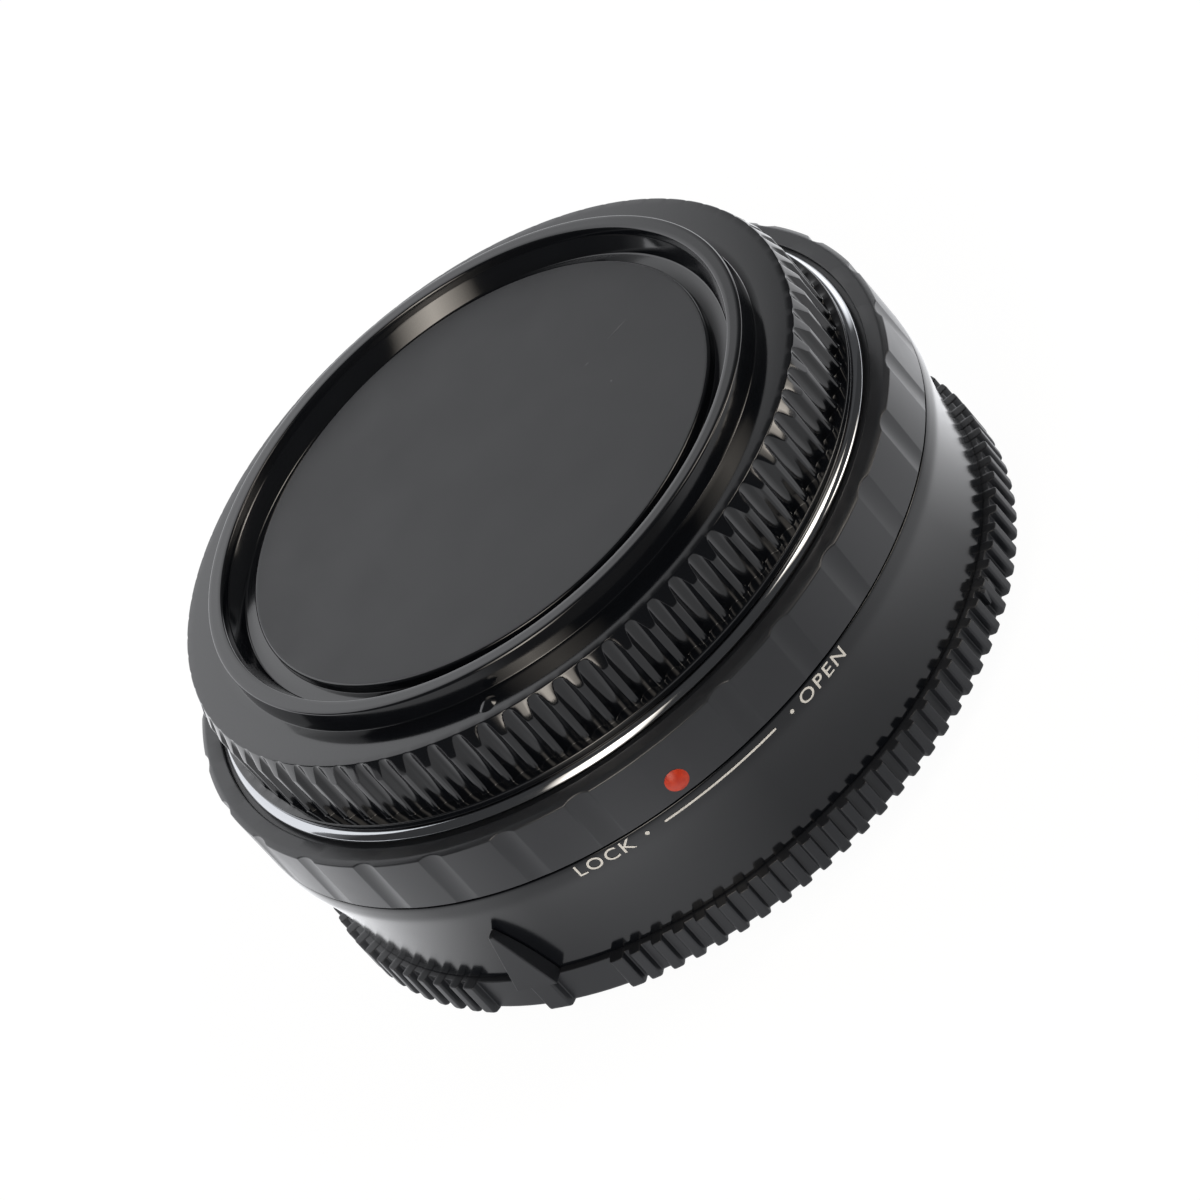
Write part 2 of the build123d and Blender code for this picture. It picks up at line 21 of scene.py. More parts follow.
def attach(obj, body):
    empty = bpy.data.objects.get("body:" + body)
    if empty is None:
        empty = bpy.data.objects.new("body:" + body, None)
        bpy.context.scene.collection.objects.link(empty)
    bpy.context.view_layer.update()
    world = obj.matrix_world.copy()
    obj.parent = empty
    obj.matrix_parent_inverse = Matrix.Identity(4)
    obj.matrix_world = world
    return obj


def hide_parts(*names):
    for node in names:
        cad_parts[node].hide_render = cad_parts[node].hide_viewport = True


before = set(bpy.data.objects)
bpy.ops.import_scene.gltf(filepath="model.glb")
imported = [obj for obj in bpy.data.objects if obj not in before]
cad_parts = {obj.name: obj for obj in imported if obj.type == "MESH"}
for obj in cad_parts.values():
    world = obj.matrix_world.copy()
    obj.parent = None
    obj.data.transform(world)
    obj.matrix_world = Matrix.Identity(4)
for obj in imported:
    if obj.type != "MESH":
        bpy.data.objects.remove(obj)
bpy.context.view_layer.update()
MM = 0.001
print("CAD pieces:", ", ".join(sorted(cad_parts)))

# %% [markdown]
# ## Rounded outlines
#
# Everything here was turned, moulded or ground round one axis, so each piece starts as an
# outline: a closed row of corners given as radius and height in millimetres. No real
# corner is perfectly sharp. A tiny round on each one catches a thread of light, and that
# thread is what tells the eye how big the object is. A Bevel modifier could make these
# rounds, but it gives one width to many edges. Here each corner says how much of it is cut
# away, and a corner with no cut stays a single point.

# %% A helper that rounds the corners of an outline
ROUND_STEPS = 3
MOST_OF_AN_EDGE = 0.45


def rounded(corners):
    """Points of a closed outline from (radius, height, cut) corners."""
    points = []
    for number, (x, y, cut) in enumerate(corners):
        here = Vector((x, y))
        if cut is None:
            points.append((x, y))
            continue
        back = Vector(corners[number - 1][:2]) - here
        ahead = Vector(corners[(number + 1) % len(corners)][:2]) - here
        start = here + back.normalized() * min(cut, MOST_OF_AN_EDGE * back.length)
        end = here + ahead.normalized() * min(cut, MOST_OF_AN_EDGE * ahead.length)
        for step in range(ROUND_STEPS + 1):
            t = step / ROUND_STEPS
            spot = start * (1 - t) ** 2 + here * 2 * t * (1 - t) + end * t**2
            points.append((spot.x, spot.y))
    return points


square = [(0, 0, 0.1), (1, 0, 0.1), (1, 1, 0.1), (0, 1, 0.1)]
print("a square with cut corners has", len(rounded(square)), "points")

# %% [markdown]
# ## Turning an outline into a solid
#
# A lathe sweeps an outline round the axis. Blender's Screw or Spin tool does that for one
# fixed outline, but grips have flutes and ribs, so here every angle may bring its own
# outline, as long as the number of points stays the same. Neighbouring outlines are joined
# with four-sided faces. When the turn is not a full one, both ends are closed.

# %% Helpers that join rows of points into a skin
SECTOR_STEP = 2.0  # degrees


def on_axis(angle, radius, height):
    """A point in metres from an angle in degrees and millimetres."""
    turn = math.radians(angle)
    return (radius * math.cos(turn) * MM, radius * math.sin(turn) * MM, height * MM)


def loft(shape, rows, closed):
    """Joins rows of points, each row a closed loop, into a skin and adds it to a shape."""
    points, faces = shape
    base, count = len(points), len(rows[0])
    for row in rows:
        points.extend(row)
    for i in range(len(rows) if closed else len(rows) - 1):
        here, there = base + i * count, base + (i + 1) % len(rows) * count
        for k in range(count):
            nxt = (k + 1) % count
            faces.append((here + k, there + k, there + nxt, here + nxt))
    if not closed:
        last = base + (len(rows) - 1) * count
        faces.append(tuple(range(base, base + count)))
        faces.append(tuple(range(last, last + count)))


def lathe(shape, columns, closed=True):
    """Adds the skin through (angle, outline) columns to a shape."""
    rows = [[on_axis(angle, r, z) for r, z in outline] for angle, outline in columns]
    loft(shape, rows, closed)


def sector(shape, middle, half, outline):
    """Adds a part of a ring, such as a bayonet lug, that reaches half a span to each side."""
    count = max(2, math.ceil(2 * half / SECTOR_STEP))
    angles = [middle - half + 2 * half * i / count for i in range(count + 1)]
    lathe(shape, [(angle, outline) for angle in angles], closed=False)


def even_angles(count):
    """Angles in degrees that share a full turn."""
    return [360 * i / count for i in range(count)]


print("a turn in eight parts:", even_angles(8))

# %% [markdown]
# ## From points to a Blender piece
#
# The points become a mesh. Points that fall on each other are merged, and all faces are
# turned to look outwards. Smooth shading runs over the gentle turns, edges steeper than
# the sharp angle stay crisp, and a Weighted Normal modifier lets the big faces stay flat
# right up to their small rounds, as they do on a machined piece.

# %% A helper that makes a piece and hands it to the CAD body
SHARP_ANGLE = math.radians(38)
SAME_POINT = 2e-7


def make_piece(name, shape, body, finishes, pick=None, stands_for=None):
    """A mesh piece from a shape; pick gives each face centre, in mm, its finish number."""
    mesh = bpy.data.meshes.new(name)
    mesh.from_pydata(shape[0], [], shape[1])
    work = bmesh.new()
    work.from_mesh(mesh)
    bmesh.ops.remove_doubles(work, verts=work.verts, dist=SAME_POINT)
    bmesh.ops.dissolve_degenerate(work, edges=work.edges, dist=SAME_POINT)
    bmesh.ops.recalc_face_normals(work, faces=work.faces)
    if pick:
        for face in work.faces:
            spot = face.calc_center_median() / MM
            face.material_index = pick(math.hypot(spot.x, spot.y), spot.z)
    work.to_mesh(mesh)
    work.free()
    mesh.shade_smooth()
    mesh.set_sharp_from_angle(angle=SHARP_ANGLE)
    for finish in finishes:
        mesh.materials.append(finish)
    piece = bpy.data.objects.new(name, mesh)
    bpy.context.scene.collection.objects.link(piece)
    weighted = piece.modifiers.new("flat faces stay flat", "WEIGHTED_NORMAL")
    weighted.keep_sharp = True
    if stands_for:
        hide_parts(stands_for)
    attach(piece, body)
    print(name, "has", len(mesh.polygons), "faces and rides on", body)


print("edges steeper than", round(math.degrees(SHARP_ANGLE)), "degrees stay sharp")

# %% [markdown]
# ## Materials: one function that adds a node
#
# A procedural material is a small tree of nodes. One function adds a node of any kind and
# fills its inputs: a socket of another node is linked, a plain value is set. Colours are
# written as the hex codes a paint program shows, which are sRGB, and are turned to the
# linear values the renderer works with. Noise sizes are written in millimetres.

# %% Helpers for colours and nodes
def linear(code):
    """Linear colour with alpha from an sRGB hex code."""
    parts = [int(code[i : i + 2], 16) / 255 for i in (1, 3, 5)]
    mixed = [c / 12.92 if c <= 0.04045 else ((c + 0.055) / 1.055) ** 2.4 for c in parts]
    return (*mixed, 1.0)


def add_node(tree, kind, inputs=None, **settings):
    """Adds a node, sets its settings, and links or sets its inputs."""
    made = tree.nodes.new(kind)
    for name, value in settings.items():
        setattr(made, name, value)
    for name, value in (inputs or {}).items():
        if isinstance(value, bpy.types.NodeSocket):
            tree.links.new(value, made.inputs[name])
        else:
            made.inputs[name].default_value = value
    return made


def empty_material(name):
    """A node material with nothing in it, and its tree."""
    material = bpy.data.materials.new(name)
    material.use_nodes = True
    material.node_tree.nodes.clear()
    return material, material.node_tree


def new_material(name):
    """A material, its tree, its shader, and the place on the object as a socket."""
    material, tree = empty_material(name)
    shader = add_node(tree, "ShaderNodeBsdfPrincipled")
    add_node(tree, "ShaderNodeOutputMaterial", {"Surface": shader.outputs["BSDF"]})
    return material, tree, shader, add_node(tree, "ShaderNodeTexCoord").outputs["Object"]


def per_mm(size):
    """Noise scale whose blobs are about this many millimetres across."""
    return 1.0 / (size * MM)


def set_ends(ramp, *ends):
    """Gives the ends of a colour ramp their positions and hex colours."""
    for element, (position, code) in zip(ramp.color_ramp.elements, ends):
        element.position, element.color = position, linear(code)


print("mid grey is", [round(c, 3) for c in linear("#808080")])

# %% [markdown]
# ## Materials: black skins
#
# The caps are moulded in black plastic. A mould is polished where the part should shine and
# etched or blasted where it should not. The barrel and the lock ring are aluminium, blasted,
# then anodised and dyed black. All of them are black skins that differ in how rough they are
# and in how big their grain is. So one function makes them: a fine noise lifts the surface a
# few microns, a coarse one makes the roughness and the colour wander a little, the way
# handling and moulding leave them. Real blasting grit leaves pits of a few hundredths of a
# millimetre; a pixel covers about 0.08 mm, so the grain is drawn from 0.1 mm upwards.

# %% A function for black skins
CLOUD_SIZE = 6.0  # mm
NOISE_LOW, NOISE_HIGH = 0.3, 0.7
SKIN_DARK_AT, SKIN_LIGHT_AT = 0.35, 0.70


def black_skin(name, dark, light, rough, wander, grain, lift, level=0.5):
    """Black skin: two hex colours, roughness and its wander, grain in mm, lift in mm."""
    material, tree, shader, place = new_material(name)
    cloud = add_node(
        tree,
        "ShaderNodeTexNoise",
        {"Vector": place, "Scale": per_mm(CLOUD_SIZE), "Detail": 5.0, "Roughness": 0.6},
    ).outputs["Fac"]
    tone = add_node(tree, "ShaderNodeValToRGB", {"Fac": cloud})
    set_ends(tone, (SKIN_DARK_AT, dark), (SKIN_LIGHT_AT, light))
    spread = add_node(
        tree,
        "ShaderNodeMapRange",
        {
            "Value": cloud, "From Min": NOISE_LOW, "From Max": NOISE_HIGH,
            "To Min": rough - wander, "To Max": rough + wander,
        },
    )
    fine = add_node(
        tree, "ShaderNodeTexNoise", {"Vector": place, "Scale": per_mm(grain), "Detail": 2.0}
    )
    bump = add_node(
        tree, "ShaderNodeBump", {"Height": fine.outputs["Fac"], "Distance": lift * MM}
    )
    tree.links.new(tone.outputs["Color"], shader.inputs["Base Color"])
    tree.links.new(spread.outputs["Result"], shader.inputs["Roughness"])
    tree.links.new(bump.outputs["Normal"], shader.inputs["Normal"])
    shader.inputs["Specular IOR Level"].default_value = level
    return material


# Deep black that mirrors the set almost like glass.
cap_gloss = black_skin(
    "plastic moulded in a polished tool", "#0a0c10", "#0e1014",
    rough=0.10, wander=0.02, grain=0.30, lift=0.0004, level=0.62,
)
# Even dark grey with no picture in it: the grain scatters what it mirrors.
cap_matt = black_skin(
    "plastic moulded against a blasted disc", "#16181c", "#1a1c20",
    rough=0.44, wander=0.03, grain=0.10, lift=0.0040,
)
# Soft sheen that rounds off every rib.
rear_satin = black_skin(
    "plastic moulded in a satin tool", "#1d1f23", "#212327",
    rough=0.36, wander=0.04, grain=0.16, lift=0.0015, level=0.42,
)
# Smooth dye over fine blasting: long gradients from foot to band.
barrel_skin = black_skin(
    "aluminium turned, blasted and dyed black", "#0a0c10", "#0e1014",
    rough=0.14, wander=0.03, grain=0.10, lift=0.0006,
)
# Coarser blasting: a dry dark grey that shows the grooves by soft shade.
ring_skin = black_skin(
    "aluminium blasted and dyed satin black", "#232529", "#27292d",
    rough=0.32, wander=0.04, grain=0.10, lift=0.0020,
)
print("black skins:", [m.name for m in (cap_gloss, cap_matt, rear_satin, barrel_skin, ring_skin)])

# %% [markdown]
# ## Materials: bright metals, enamel and paint
#
# The two bayonets are brass, turned and chromed. The tool leaves rings that are far finer
# than a millimetre, so the noise is squeezed along the axis; they are drawn coarser than
# they are, at the size of a pixel, so that they show. Screws are bright steel, the leaf is
# spring steel, the lever is blackened brass. The index dot is red enamel and the words are
# engraved and filled with cream paint.

# %% A function for metals, one for paint
RING_SQUEEZE = (0.04, 0.04, 1.0)
ROUGH_LEAST, ROUGH_MOST = 0.8, 1.25
PAINT_DARK_AT, PAINT_LIGHT_AT = 0.35, 0.65


def metal(name, code, rough, streak, lift):
    """Turned metal: hex colour, roughness, streak spacing along the axis in mm, lift in mm."""
    material, tree, shader, place = new_material(name)
    squeezed = add_node(tree, "ShaderNodeMapping", {"Vector": place, "Scale": RING_SQUEEZE})
    lines = add_node(
        tree,
        "ShaderNodeTexNoise",
        {"Vector": squeezed.outputs["Vector"], "Scale": per_mm(streak), "Detail": 3.0},
    ).outputs["Fac"]
    spread = add_node(
        tree,
        "ShaderNodeMapRange",
        {
            "Value": lines, "From Min": NOISE_LOW, "From Max": NOISE_HIGH,
            "To Min": rough * ROUGH_LEAST, "To Max": rough * ROUGH_MOST,
        },
    )
    bump = add_node(tree, "ShaderNodeBump", {"Height": lines, "Distance": lift * MM})
    shader.inputs["Base Color"].default_value = linear(code)
    shader.inputs["Metallic"].default_value = 1.0
    tree.links.new(spread.outputs["Result"], shader.inputs["Roughness"])
    tree.links.new(bump.outputs["Normal"], shader.inputs["Normal"])
    return material


def paint(name, dark, light, rough, grain, lift):
    """Brushed-on paint: two hex colours, roughness, grain and lift in mm."""
    material, tree, shader, place = new_material(name)
    blobs = add_node(
        tree, "ShaderNodeTexNoise", {"Vector": place, "Scale": per_mm(grain), "Detail": 3.0}
    ).outputs["Fac"]
    tone = add_node(tree, "ShaderNodeValToRGB", {"Fac": blobs})
    set_ends(tone, (PAINT_DARK_AT, dark), (PAINT_LIGHT_AT, light))
    bump = add_node(tree, "ShaderNodeBump", {"Height": blobs, "Distance": lift * MM})
    tree.links.new(tone.outputs["Color"], shader.inputs["Base Color"])
    tree.links.new(bump.outputs["Normal"], shader.inputs["Normal"])
    shader.inputs["Roughness"].default_value = rough
    return material


# %% Metals and paints
# Chrome is a clear mirror, so the lip breaks up into white and black.
chrome = metal("brass turned and chromed", "#b4b6b9", rough=0.08, streak=0.08, lift=0.0003)
# Zinc and rolled steel are greyer and blur what they mirror.
screw_steel = metal("steel headed and zinc plated", "#b9babc", rough=0.24, streak=0.05, lift=0.0008)
spring_steel = metal("steel strip rolled and hardened", "#8d8f94", rough=0.28, streak=0.05, lift=0.0008)
# Blackened brass keeps stray light out of the tube.
dark_brass = metal("brass milled and blackened", "#2a2724", rough=0.38, streak=0.06, lift=0.0010)
# Enamel and paint show their own colour, and only a little of the set.
red_enamel = paint(
    "enamel dripped in and cured, red", "#b42c0e", "#c43812", rough=0.45, grain=0.5, lift=0.010
)
cream_paint = paint(
    "paint wiped into engraving, cream", "#cfcdc7", "#dad8d2", rough=0.55, grain=0.2, lift=0.004
)
# A scratch turns black plastic pale, because its torn floor scatters light.
rubbed_plastic = paint(
    "plastic rubbed pale by a scratch", "#6c6d70", "#7a7b7e", rough=0.60, grain=0.3, lift=0.002
)
print("materials in all:", len(bpy.data.materials))

# %% [markdown]
# ## The front cap
#
# One moulding: a rim at the foot, a grip with 78 flutes that run out through a slope, a
# flange with a slight crown, a raised ring with a sloping inner wall, a moat, and a matt
# disc. The disc was blasted in the mould, the rest polished. Three lugs inside hook under
# the lens mount, and a small bead on the flange shows which way the cap goes on.
#
# A flute could be cut with a Boolean, 78 times. Here it is drawn once across one pitch: a
# land, a small round, a flat floor with wide rounds, and the next land. Each place across
# it is a sideways position and a depth, so a column of the lathe stands exactly on every
# edge, and its outline knows how deep the grip lies there.

# %% Front cap: one flute
LAND_MIDDLE, FLUTE_LIP, FLUTE_FLOOR, FLUTE_DEPTH = 1.15, 0.86, 0.42, 0.59
FLUTE_LIP_CUT, FLUTE_FLOOR_CUT = 0.14, 0.36
flute = rounded(
    [
        (-LAND_MIDDLE, 0, None),
        (-FLUTE_LIP, 0, FLUTE_LIP_CUT),
        (-FLUTE_FLOOR, FLUTE_DEPTH, FLUTE_FLOOR_CUT),
        (FLUTE_FLOOR, FLUTE_DEPTH, FLUTE_FLOOR_CUT),
        (FLUTE_LIP, 0, FLUTE_LIP_CUT),
        (LAND_MIDDLE, 0, None),
    ]
)
print("a flute is", len(flute), "columns wide")

# %% Front cap: its outline
CAP_FOOT, FLUTE_FOOT, GRIP_SHOULDER = 22.50, 23.12, 27.42
FLANGE, MOAT, DISC, RING_TOP, CAP_PLATE = 29.00, 28.94, 29.81, 30.97, 27.35
CROWN, CROWN_STEPS, KNEE_DROP, EDGE_INSIDE = 0.03, 5, 0.08, 0.02
CAP_INNER, CAP_RIM, GRIP, FLANGE_EDGE = 27.15, 29.30, 28.66, 28.10
RING_ROOT, RING_OUT, RING_IN, MOAT_OUT, DISC_EDGE = 24.80, 24.70, 23.40, 22.47, 21.08
RING_KNEE, RING_KNEE_LEVEL, HOLD = 23.26, 30.25, 0.40

flange_rim = FLANGE - CROWN
crowned = []
for step in range(1, CROWN_STEPS):
    share = 1 - step / CROWN_STEPS
    radius = RING_ROOT + (FLANGE_EDGE - RING_ROOT) * share
    crowned.append((radius, FLANGE + CROWN - 2 * CROWN * share**2, None))


def front_outline(depth):
    """The cap's outline where its grip lies this deep."""
    grip = GRIP - depth
    edge = min(FLANGE_EDGE, grip - EDGE_INSIDE)
    run_out = min(1, depth / (GRIP - FLANGE_EDGE))
    knee = GRIP_SHOULDER + run_out * (flange_rim - KNEE_DROP - GRIP_SHOULDER)
    return rounded(
        [
            (CAP_INNER, CAP_FOOT, None),
            (CAP_RIM, CAP_FOOT, 0.06),
            (CAP_RIM, FLUTE_FOOT, 0.10),
            (grip, FLUTE_FOOT, 0.05),
            (grip, knee, 0.10),
            (edge, flange_rim, 0.10),
            *crowned,
            (RING_ROOT, FLANGE + CROWN, 0.08),
            (RING_OUT, RING_TOP, 0.18),
            (RING_OUT - HOLD, RING_TOP, None),
            (RING_IN + HOLD, RING_TOP, None),
            (RING_IN, RING_TOP, 0.12),
            (RING_KNEE, RING_KNEE_LEVEL, 0.10),
            (MOAT_OUT, MOAT, 0.10),
            (DISC_EDGE, MOAT, 0.06),
            (DISC_EDGE, DISC, 0.20),
            (DISC_EDGE - HOLD, DISC, None),
            (HOLD, DISC, None),
            (0, DISC, None),
            (0, CAP_PLATE, None),
            (CAP_INNER, CAP_PLATE, None),
        ]
    )


print("the front cap's outline has", len(front_outline(0)), "points")

# %% A helper for low domes
DOME_RINGS, DOME_SIDES = 7, 28


def dome(shape, place, radius, rise, root):
    """Adds a low dome; place turns (sideways, up, out) in mm to a point in metres."""
    levels = [rise * math.sin(math.pi / 2 * i / DOME_RINGS) for i in range(DOME_RINGS)]
    turns = [math.radians(turn) for turn in even_angles(DOME_SIDES)]
    rows = []
    for level in [-root] + levels:
        flat = radius * math.sqrt(max(0.0, 1 - max(0.0, level) / rise))
        rows.append([place(flat * math.cos(a), flat * math.sin(a), level) for a in turns])
    rows.append([place(0, 0, rise)] * DOME_SIDES)
    loft(shape, rows, closed=False)


print("a dome has", DOME_RINGS, "rings")

# %% Front cap: the piece
FLUTES, LAND_ANGLE = 78, -90.85
THREE_LUGS = (0, 120, 240)
CAP_LUG_HALF = 22  # degrees
CAP_LUG = rounded(
    [(25.80, 22.77, 0.1), (27.45, 22.77, 0.1), (27.45, 24.00, 0.1), (25.80, 24.00, 0.1)]
)
BEAD_ANGLE, BEAD_REACH, BEAD_RADIUS, BEAD_RISE, BEAD_ROOT = -114.8, 26.40, 0.83, 0.40, 0.2
MATT_INSET, MATT_SKIN = 0.15, 0.05


def on_flange(side, up, out):
    """A place beside the bead's middle, as a point in metres."""
    x, y, z = on_axis(BEAD_ANGLE, BEAD_REACH, FLANGE)
    return (x + side * MM, y + up * MM, z + out * MM)


def front_finish(radius, height):
    """The disc is matt, which is finish 1, and the rest is gloss."""
    return 1 if radius < DISC_EDGE - MATT_INSET and height > DISC - MATT_SKIN else 0


shape = ([], [])
columns = []
for number in range(FLUTES):
    middle = LAND_ANGLE + (number + 0.5) * 360 / FLUTES
    columns += [(middle + math.degrees(side / GRIP), front_outline(depth)) for side, depth in flute]
lathe(shape, columns)
for middle in THREE_LUGS:
    sector(shape, middle, CAP_LUG_HALF, CAP_LUG)
dome(shape, on_flange, BEAD_RADIUS, BEAD_RISE, BEAD_ROOT)
make_piece("front_cap_fine", shape, "front_cap", [cap_gloss, cap_matt], front_finish,
           "front_cap")

# %% [markdown]
# ## Wear on the disc
#
# The cap has been used: two hair scratches and a speck show on its disc. Each is a flat
# sliver, pointed at both ends, a hundredth of a millimetre above the plastic. A scratch is
# thinner than a pixel of the render, so it shows as a faint line and not as an edge. A
# noise in the material could scatter marks too, but not put one where it is.

# %% Scratches and speck
WEAR_STAND = 0.012
WEAR = [  # start, end and width in mm
    ((13.97, 1.69), (16.22, 2.09), 0.07),
    ((11.32, 0.99), (11.86, 1.05), 0.06),
    ((11.98, -3.17), (12.12, -3.09), 0.16),
]


def sliver(shape, start, end, wide):
    """Adds a flat sliver that lies on the disc between two places in mm."""
    start, end = Vector(start), Vector(end)
    middle, along = (start + end) / 2, end - start
    side = Vector((-along.y, along.x)).normalized() * wide / 2
    base = len(shape[0])
    for spot in (start, middle - side, end, middle + side):
        shape[0].append((spot.x * MM, spot.y * MM, (DISC + WEAR_STAND) * MM))
    shape[1].append((base, base + 1, base + 2, base + 3))


shape = ([], [])
for start, end, wide in WEAR:
    sliver(shape, start, end, wide)
make_piece("disc_wear", shape, "front_cap", [rubbed_plastic])

# %% [markdown]
# ## The lock ring
#
# A turned ring with 29 grooves, one left out where the red dot sits. Its top edge has a
# chamfer, and the inner part of its top steps down a little, which makes the dark line
# next to the bright lip. Inside, a pocket takes the head of the aperture lever.
#
# The grooves are scooped out with a round cutter that leans, so they are deepest at the top
# and run out towards the foot. Across a groove that gives a small round, an arc, and a
# small round. As with the flutes, the places across it become columns of the lathe.

# %% A helper for round scoops
SCOOP_INNER = 5


def scoop(half, depth, cut):
    """(sideways, depth) places across a scoop of half width and depth, with rounded lips."""
    radius = (half**2 + depth**2) / (2 * depth)
    reach = math.asin(half / radius)
    turn = cut / radius

    def at(angle):
        return Vector((radius * math.sin(angle), depth - radius * (1 - math.cos(angle))))

    lip = []
    start, corner, end = Vector((-half - cut, 0)), Vector((-half, 0)), at(turn - reach)
    for step in range(ROUND_STEPS + 1):
        t = step / ROUND_STEPS
        lip.append(start * (1 - t) ** 2 + corner * 2 * t * (1 - t) + end * t**2)
    span = reach - turn
    bowl = [at(-span + 2 * span * i / (SCOOP_INNER + 1)) for i in range(1, SCOOP_INNER + 1)]
    left = [(p.x, p.y) for p in lip]
    return left + [(p.x, p.y) for p in bowl] + [(-x, d) for x, d in reversed(left)]


GROOVE_HALF, GROOVE_DEPTH, GROOVE_LIP_CUT = 1.08, 0.28, 0.12
groove = scoop(GROOVE_HALF, GROOVE_DEPTH, GROOVE_LIP_CUT)
print("a groove is", len(groove), "columns wide")

# %% Lock ring: its outline
RING_FOOT, RING_HEAD, RING_R, RING_BORE = 16.40, 21.73, 32.00, 29.40
CHAMFER, CHAMFER_DROP, LEAST_DROP, LEAST_INSET = 0.40, 0.20, 0.05, 0.03
STEP_R, STEP_DOWN, GROOVE_RUN_OUT = 30.28, 0.32, 0.08
POCKET_TOP, POCKET_R, POCKET_HALF, LEVER_ANGLE = 17.52, 31.12, 6.9, 90.0


def ring_outline(depth, pocket):
    """The ring's outline where its wall lies this deep, with or without the lever pocket."""
    wall, foot = RING_R - depth, RING_R - depth * GROOVE_RUN_OUT
    knee = min(RING_HEAD - CHAMFER_DROP * (1 - depth / CHAMFER), RING_HEAD - LEAST_DROP)
    brow = min(RING_R - CHAMFER, wall - LEAST_INSET)
    corner = (POCKET_R, POCKET_TOP, None) if pocket else (RING_BORE, RING_FOOT, None)
    return rounded(
        [
            (RING_BORE, POCKET_TOP, None),
            corner,
            (POCKET_R, RING_FOOT, None),
            (foot, RING_FOOT, 0.08),
            (wall, knee, 0.10),
            (brow, RING_HEAD, 0.14),
            (STEP_R, RING_HEAD, 0.14),
            (STEP_R, RING_HEAD - STEP_DOWN, None),
            (RING_BORE, RING_HEAD - STEP_DOWN, None),
        ]
    )


print("the lock ring's outline has", len(ring_outline(0, False)), "points")

# %% Lock ring: the piece
DOT_ANGLE, GROOVE_PITCH, GROOVES, LAND_COLUMNS = -97.80, 12.0, 29, 9
half_groove = math.degrees(groove[-1][0] / RING_R)
land = GROOVE_PITCH - 2 * half_groove
places = []
for number in range(GROOVES + 1):
    middle = DOT_ANGLE + number * GROOVE_PITCH
    if number:
        places += [(middle + math.degrees(side / RING_R), depth) for side, depth in groove]
    else:
        places += [(middle - half_groove, 0.0), (middle + half_groove, 0.0)]
    land_from = middle + half_groove
    places += [(land_from + land * i / LAND_COLUMNS, 0.0) for i in range(1, LAND_COLUMNS)]
low_end, high_end = LEVER_ANGLE - POCKET_HALF, LEVER_ANGLE + POCKET_HALF
shape = ([], [])
lathe(shape, [(angle, ring_outline(depth, low_end < angle < high_end)) for angle, depth in places])
make_piece("lock_ring_fine", shape, "lock_ring_set", [ring_skin], None,
           "lock_ring")

# %% [markdown]
# ## The red index dot
#
# A drop of enamel in a shallow drilled seat. Surface tension leaves it as a low dome. A
# squashed ball would do, but the dome's rim follows the round wall of the ring.

# %% Index dot
DOT_LEVEL, DOT_RADIUS, DOT_RISE, DOT_ROOT = 17.85, 0.97, 0.36, 0.5


def on_ring(side, up, out):
    """A place beside the dot's middle, on the ring's wall, as a point in metres."""
    return on_axis(DOT_ANGLE + math.degrees(side / RING_R), RING_R + out, DOT_LEVEL + up)


shape = ([], [])
dome(shape, on_ring, DOT_RADIUS, DOT_RISE, DOT_ROOT)
make_piece("index_dot_fine", shape, "lock_ring_set", [red_enamel], None, "index_dot")

# %% [markdown]
# ## The barrel
#
# Turned from tube. It stands upright at its foot and swells in a hollow curve to the band
# that carries the words. A curve like this is drawn as many short steps, so that what it
# mirrors bends without a kink. The collar inside carries the lock ring; a slot in the
# collar lets the aperture lever swing, and a pocket holds the friction leaf.

# %% Barrel: its outline
SKIRT_FOOT, BARREL_FOOT, BAND_FOOT, BARREL_TOP = 5.96, 6.05, 14.85, 16.24
SKIRT_R, BAND_R, BAND_TOP_R, COLLAR_R, BORE_R = 30.65, 32.00, 31.95, 29.10, 24.20
MOUNT_POCKET_R, MOUNT_POCKET_TOP = 29.30, 7.97
WAIST_STEPS, BAND_SOFT = 36, 0.12


def barrel_radius(height):
    """Radius of the barrel's outside: a hollow curve that eases into the upright band."""
    share = (height - BARREL_FOOT) / (BAND_FOOT - BARREL_FOOT)
    swell = SKIRT_R + (BAND_R - SKIRT_R) * share**2
    return (swell + BAND_R - math.hypot(swell - BAND_R, BAND_SOFT)) / 2


waist = []
for step in range(1, WAIST_STEPS):
    height = BARREL_FOOT + (BARREL_TOP - BARREL_FOOT) * step / WAIST_STEPS
    waist.append((barrel_radius(height), height, None))
barrel_outline = rounded(
    [
        (MOUNT_POCKET_R, SKIRT_FOOT, None),
        (SKIRT_R, SKIRT_FOOT, 0.04),
        *waist,
        (BAND_TOP_R, BARREL_TOP, 0.07),
        (BORE_R, BARREL_TOP, None),
        (BORE_R, MOUNT_POCKET_TOP, None),
        (MOUNT_POCKET_R, MOUNT_POCKET_TOP, None),
    ]
)
print("the barrel's outline has", len(barrel_outline), "points")

# %% Barrel: the piece
COLLAR_TOP, TURN_COLUMNS, HIDDEN_LAP = 20.45, 360, 0.05
SLOT_FROM, SLOT_TO, SLOT_TOP = 77.65, 111.95, 17.90
LEAF_FROM, LEAF_TO, LEAF_TOP, LEAF_FLOOR_R = 199.0, 231.0, 19.70, 28.50
slotted = [
    (BORE_R, BARREL_TOP - HIDDEN_LAP),
    (COLLAR_R, BARREL_TOP - HIDDEN_LAP),
    (COLLAR_R, SLOT_TOP + HIDDEN_LAP),
    (BORE_R, SLOT_TOP + HIDDEN_LAP),
]


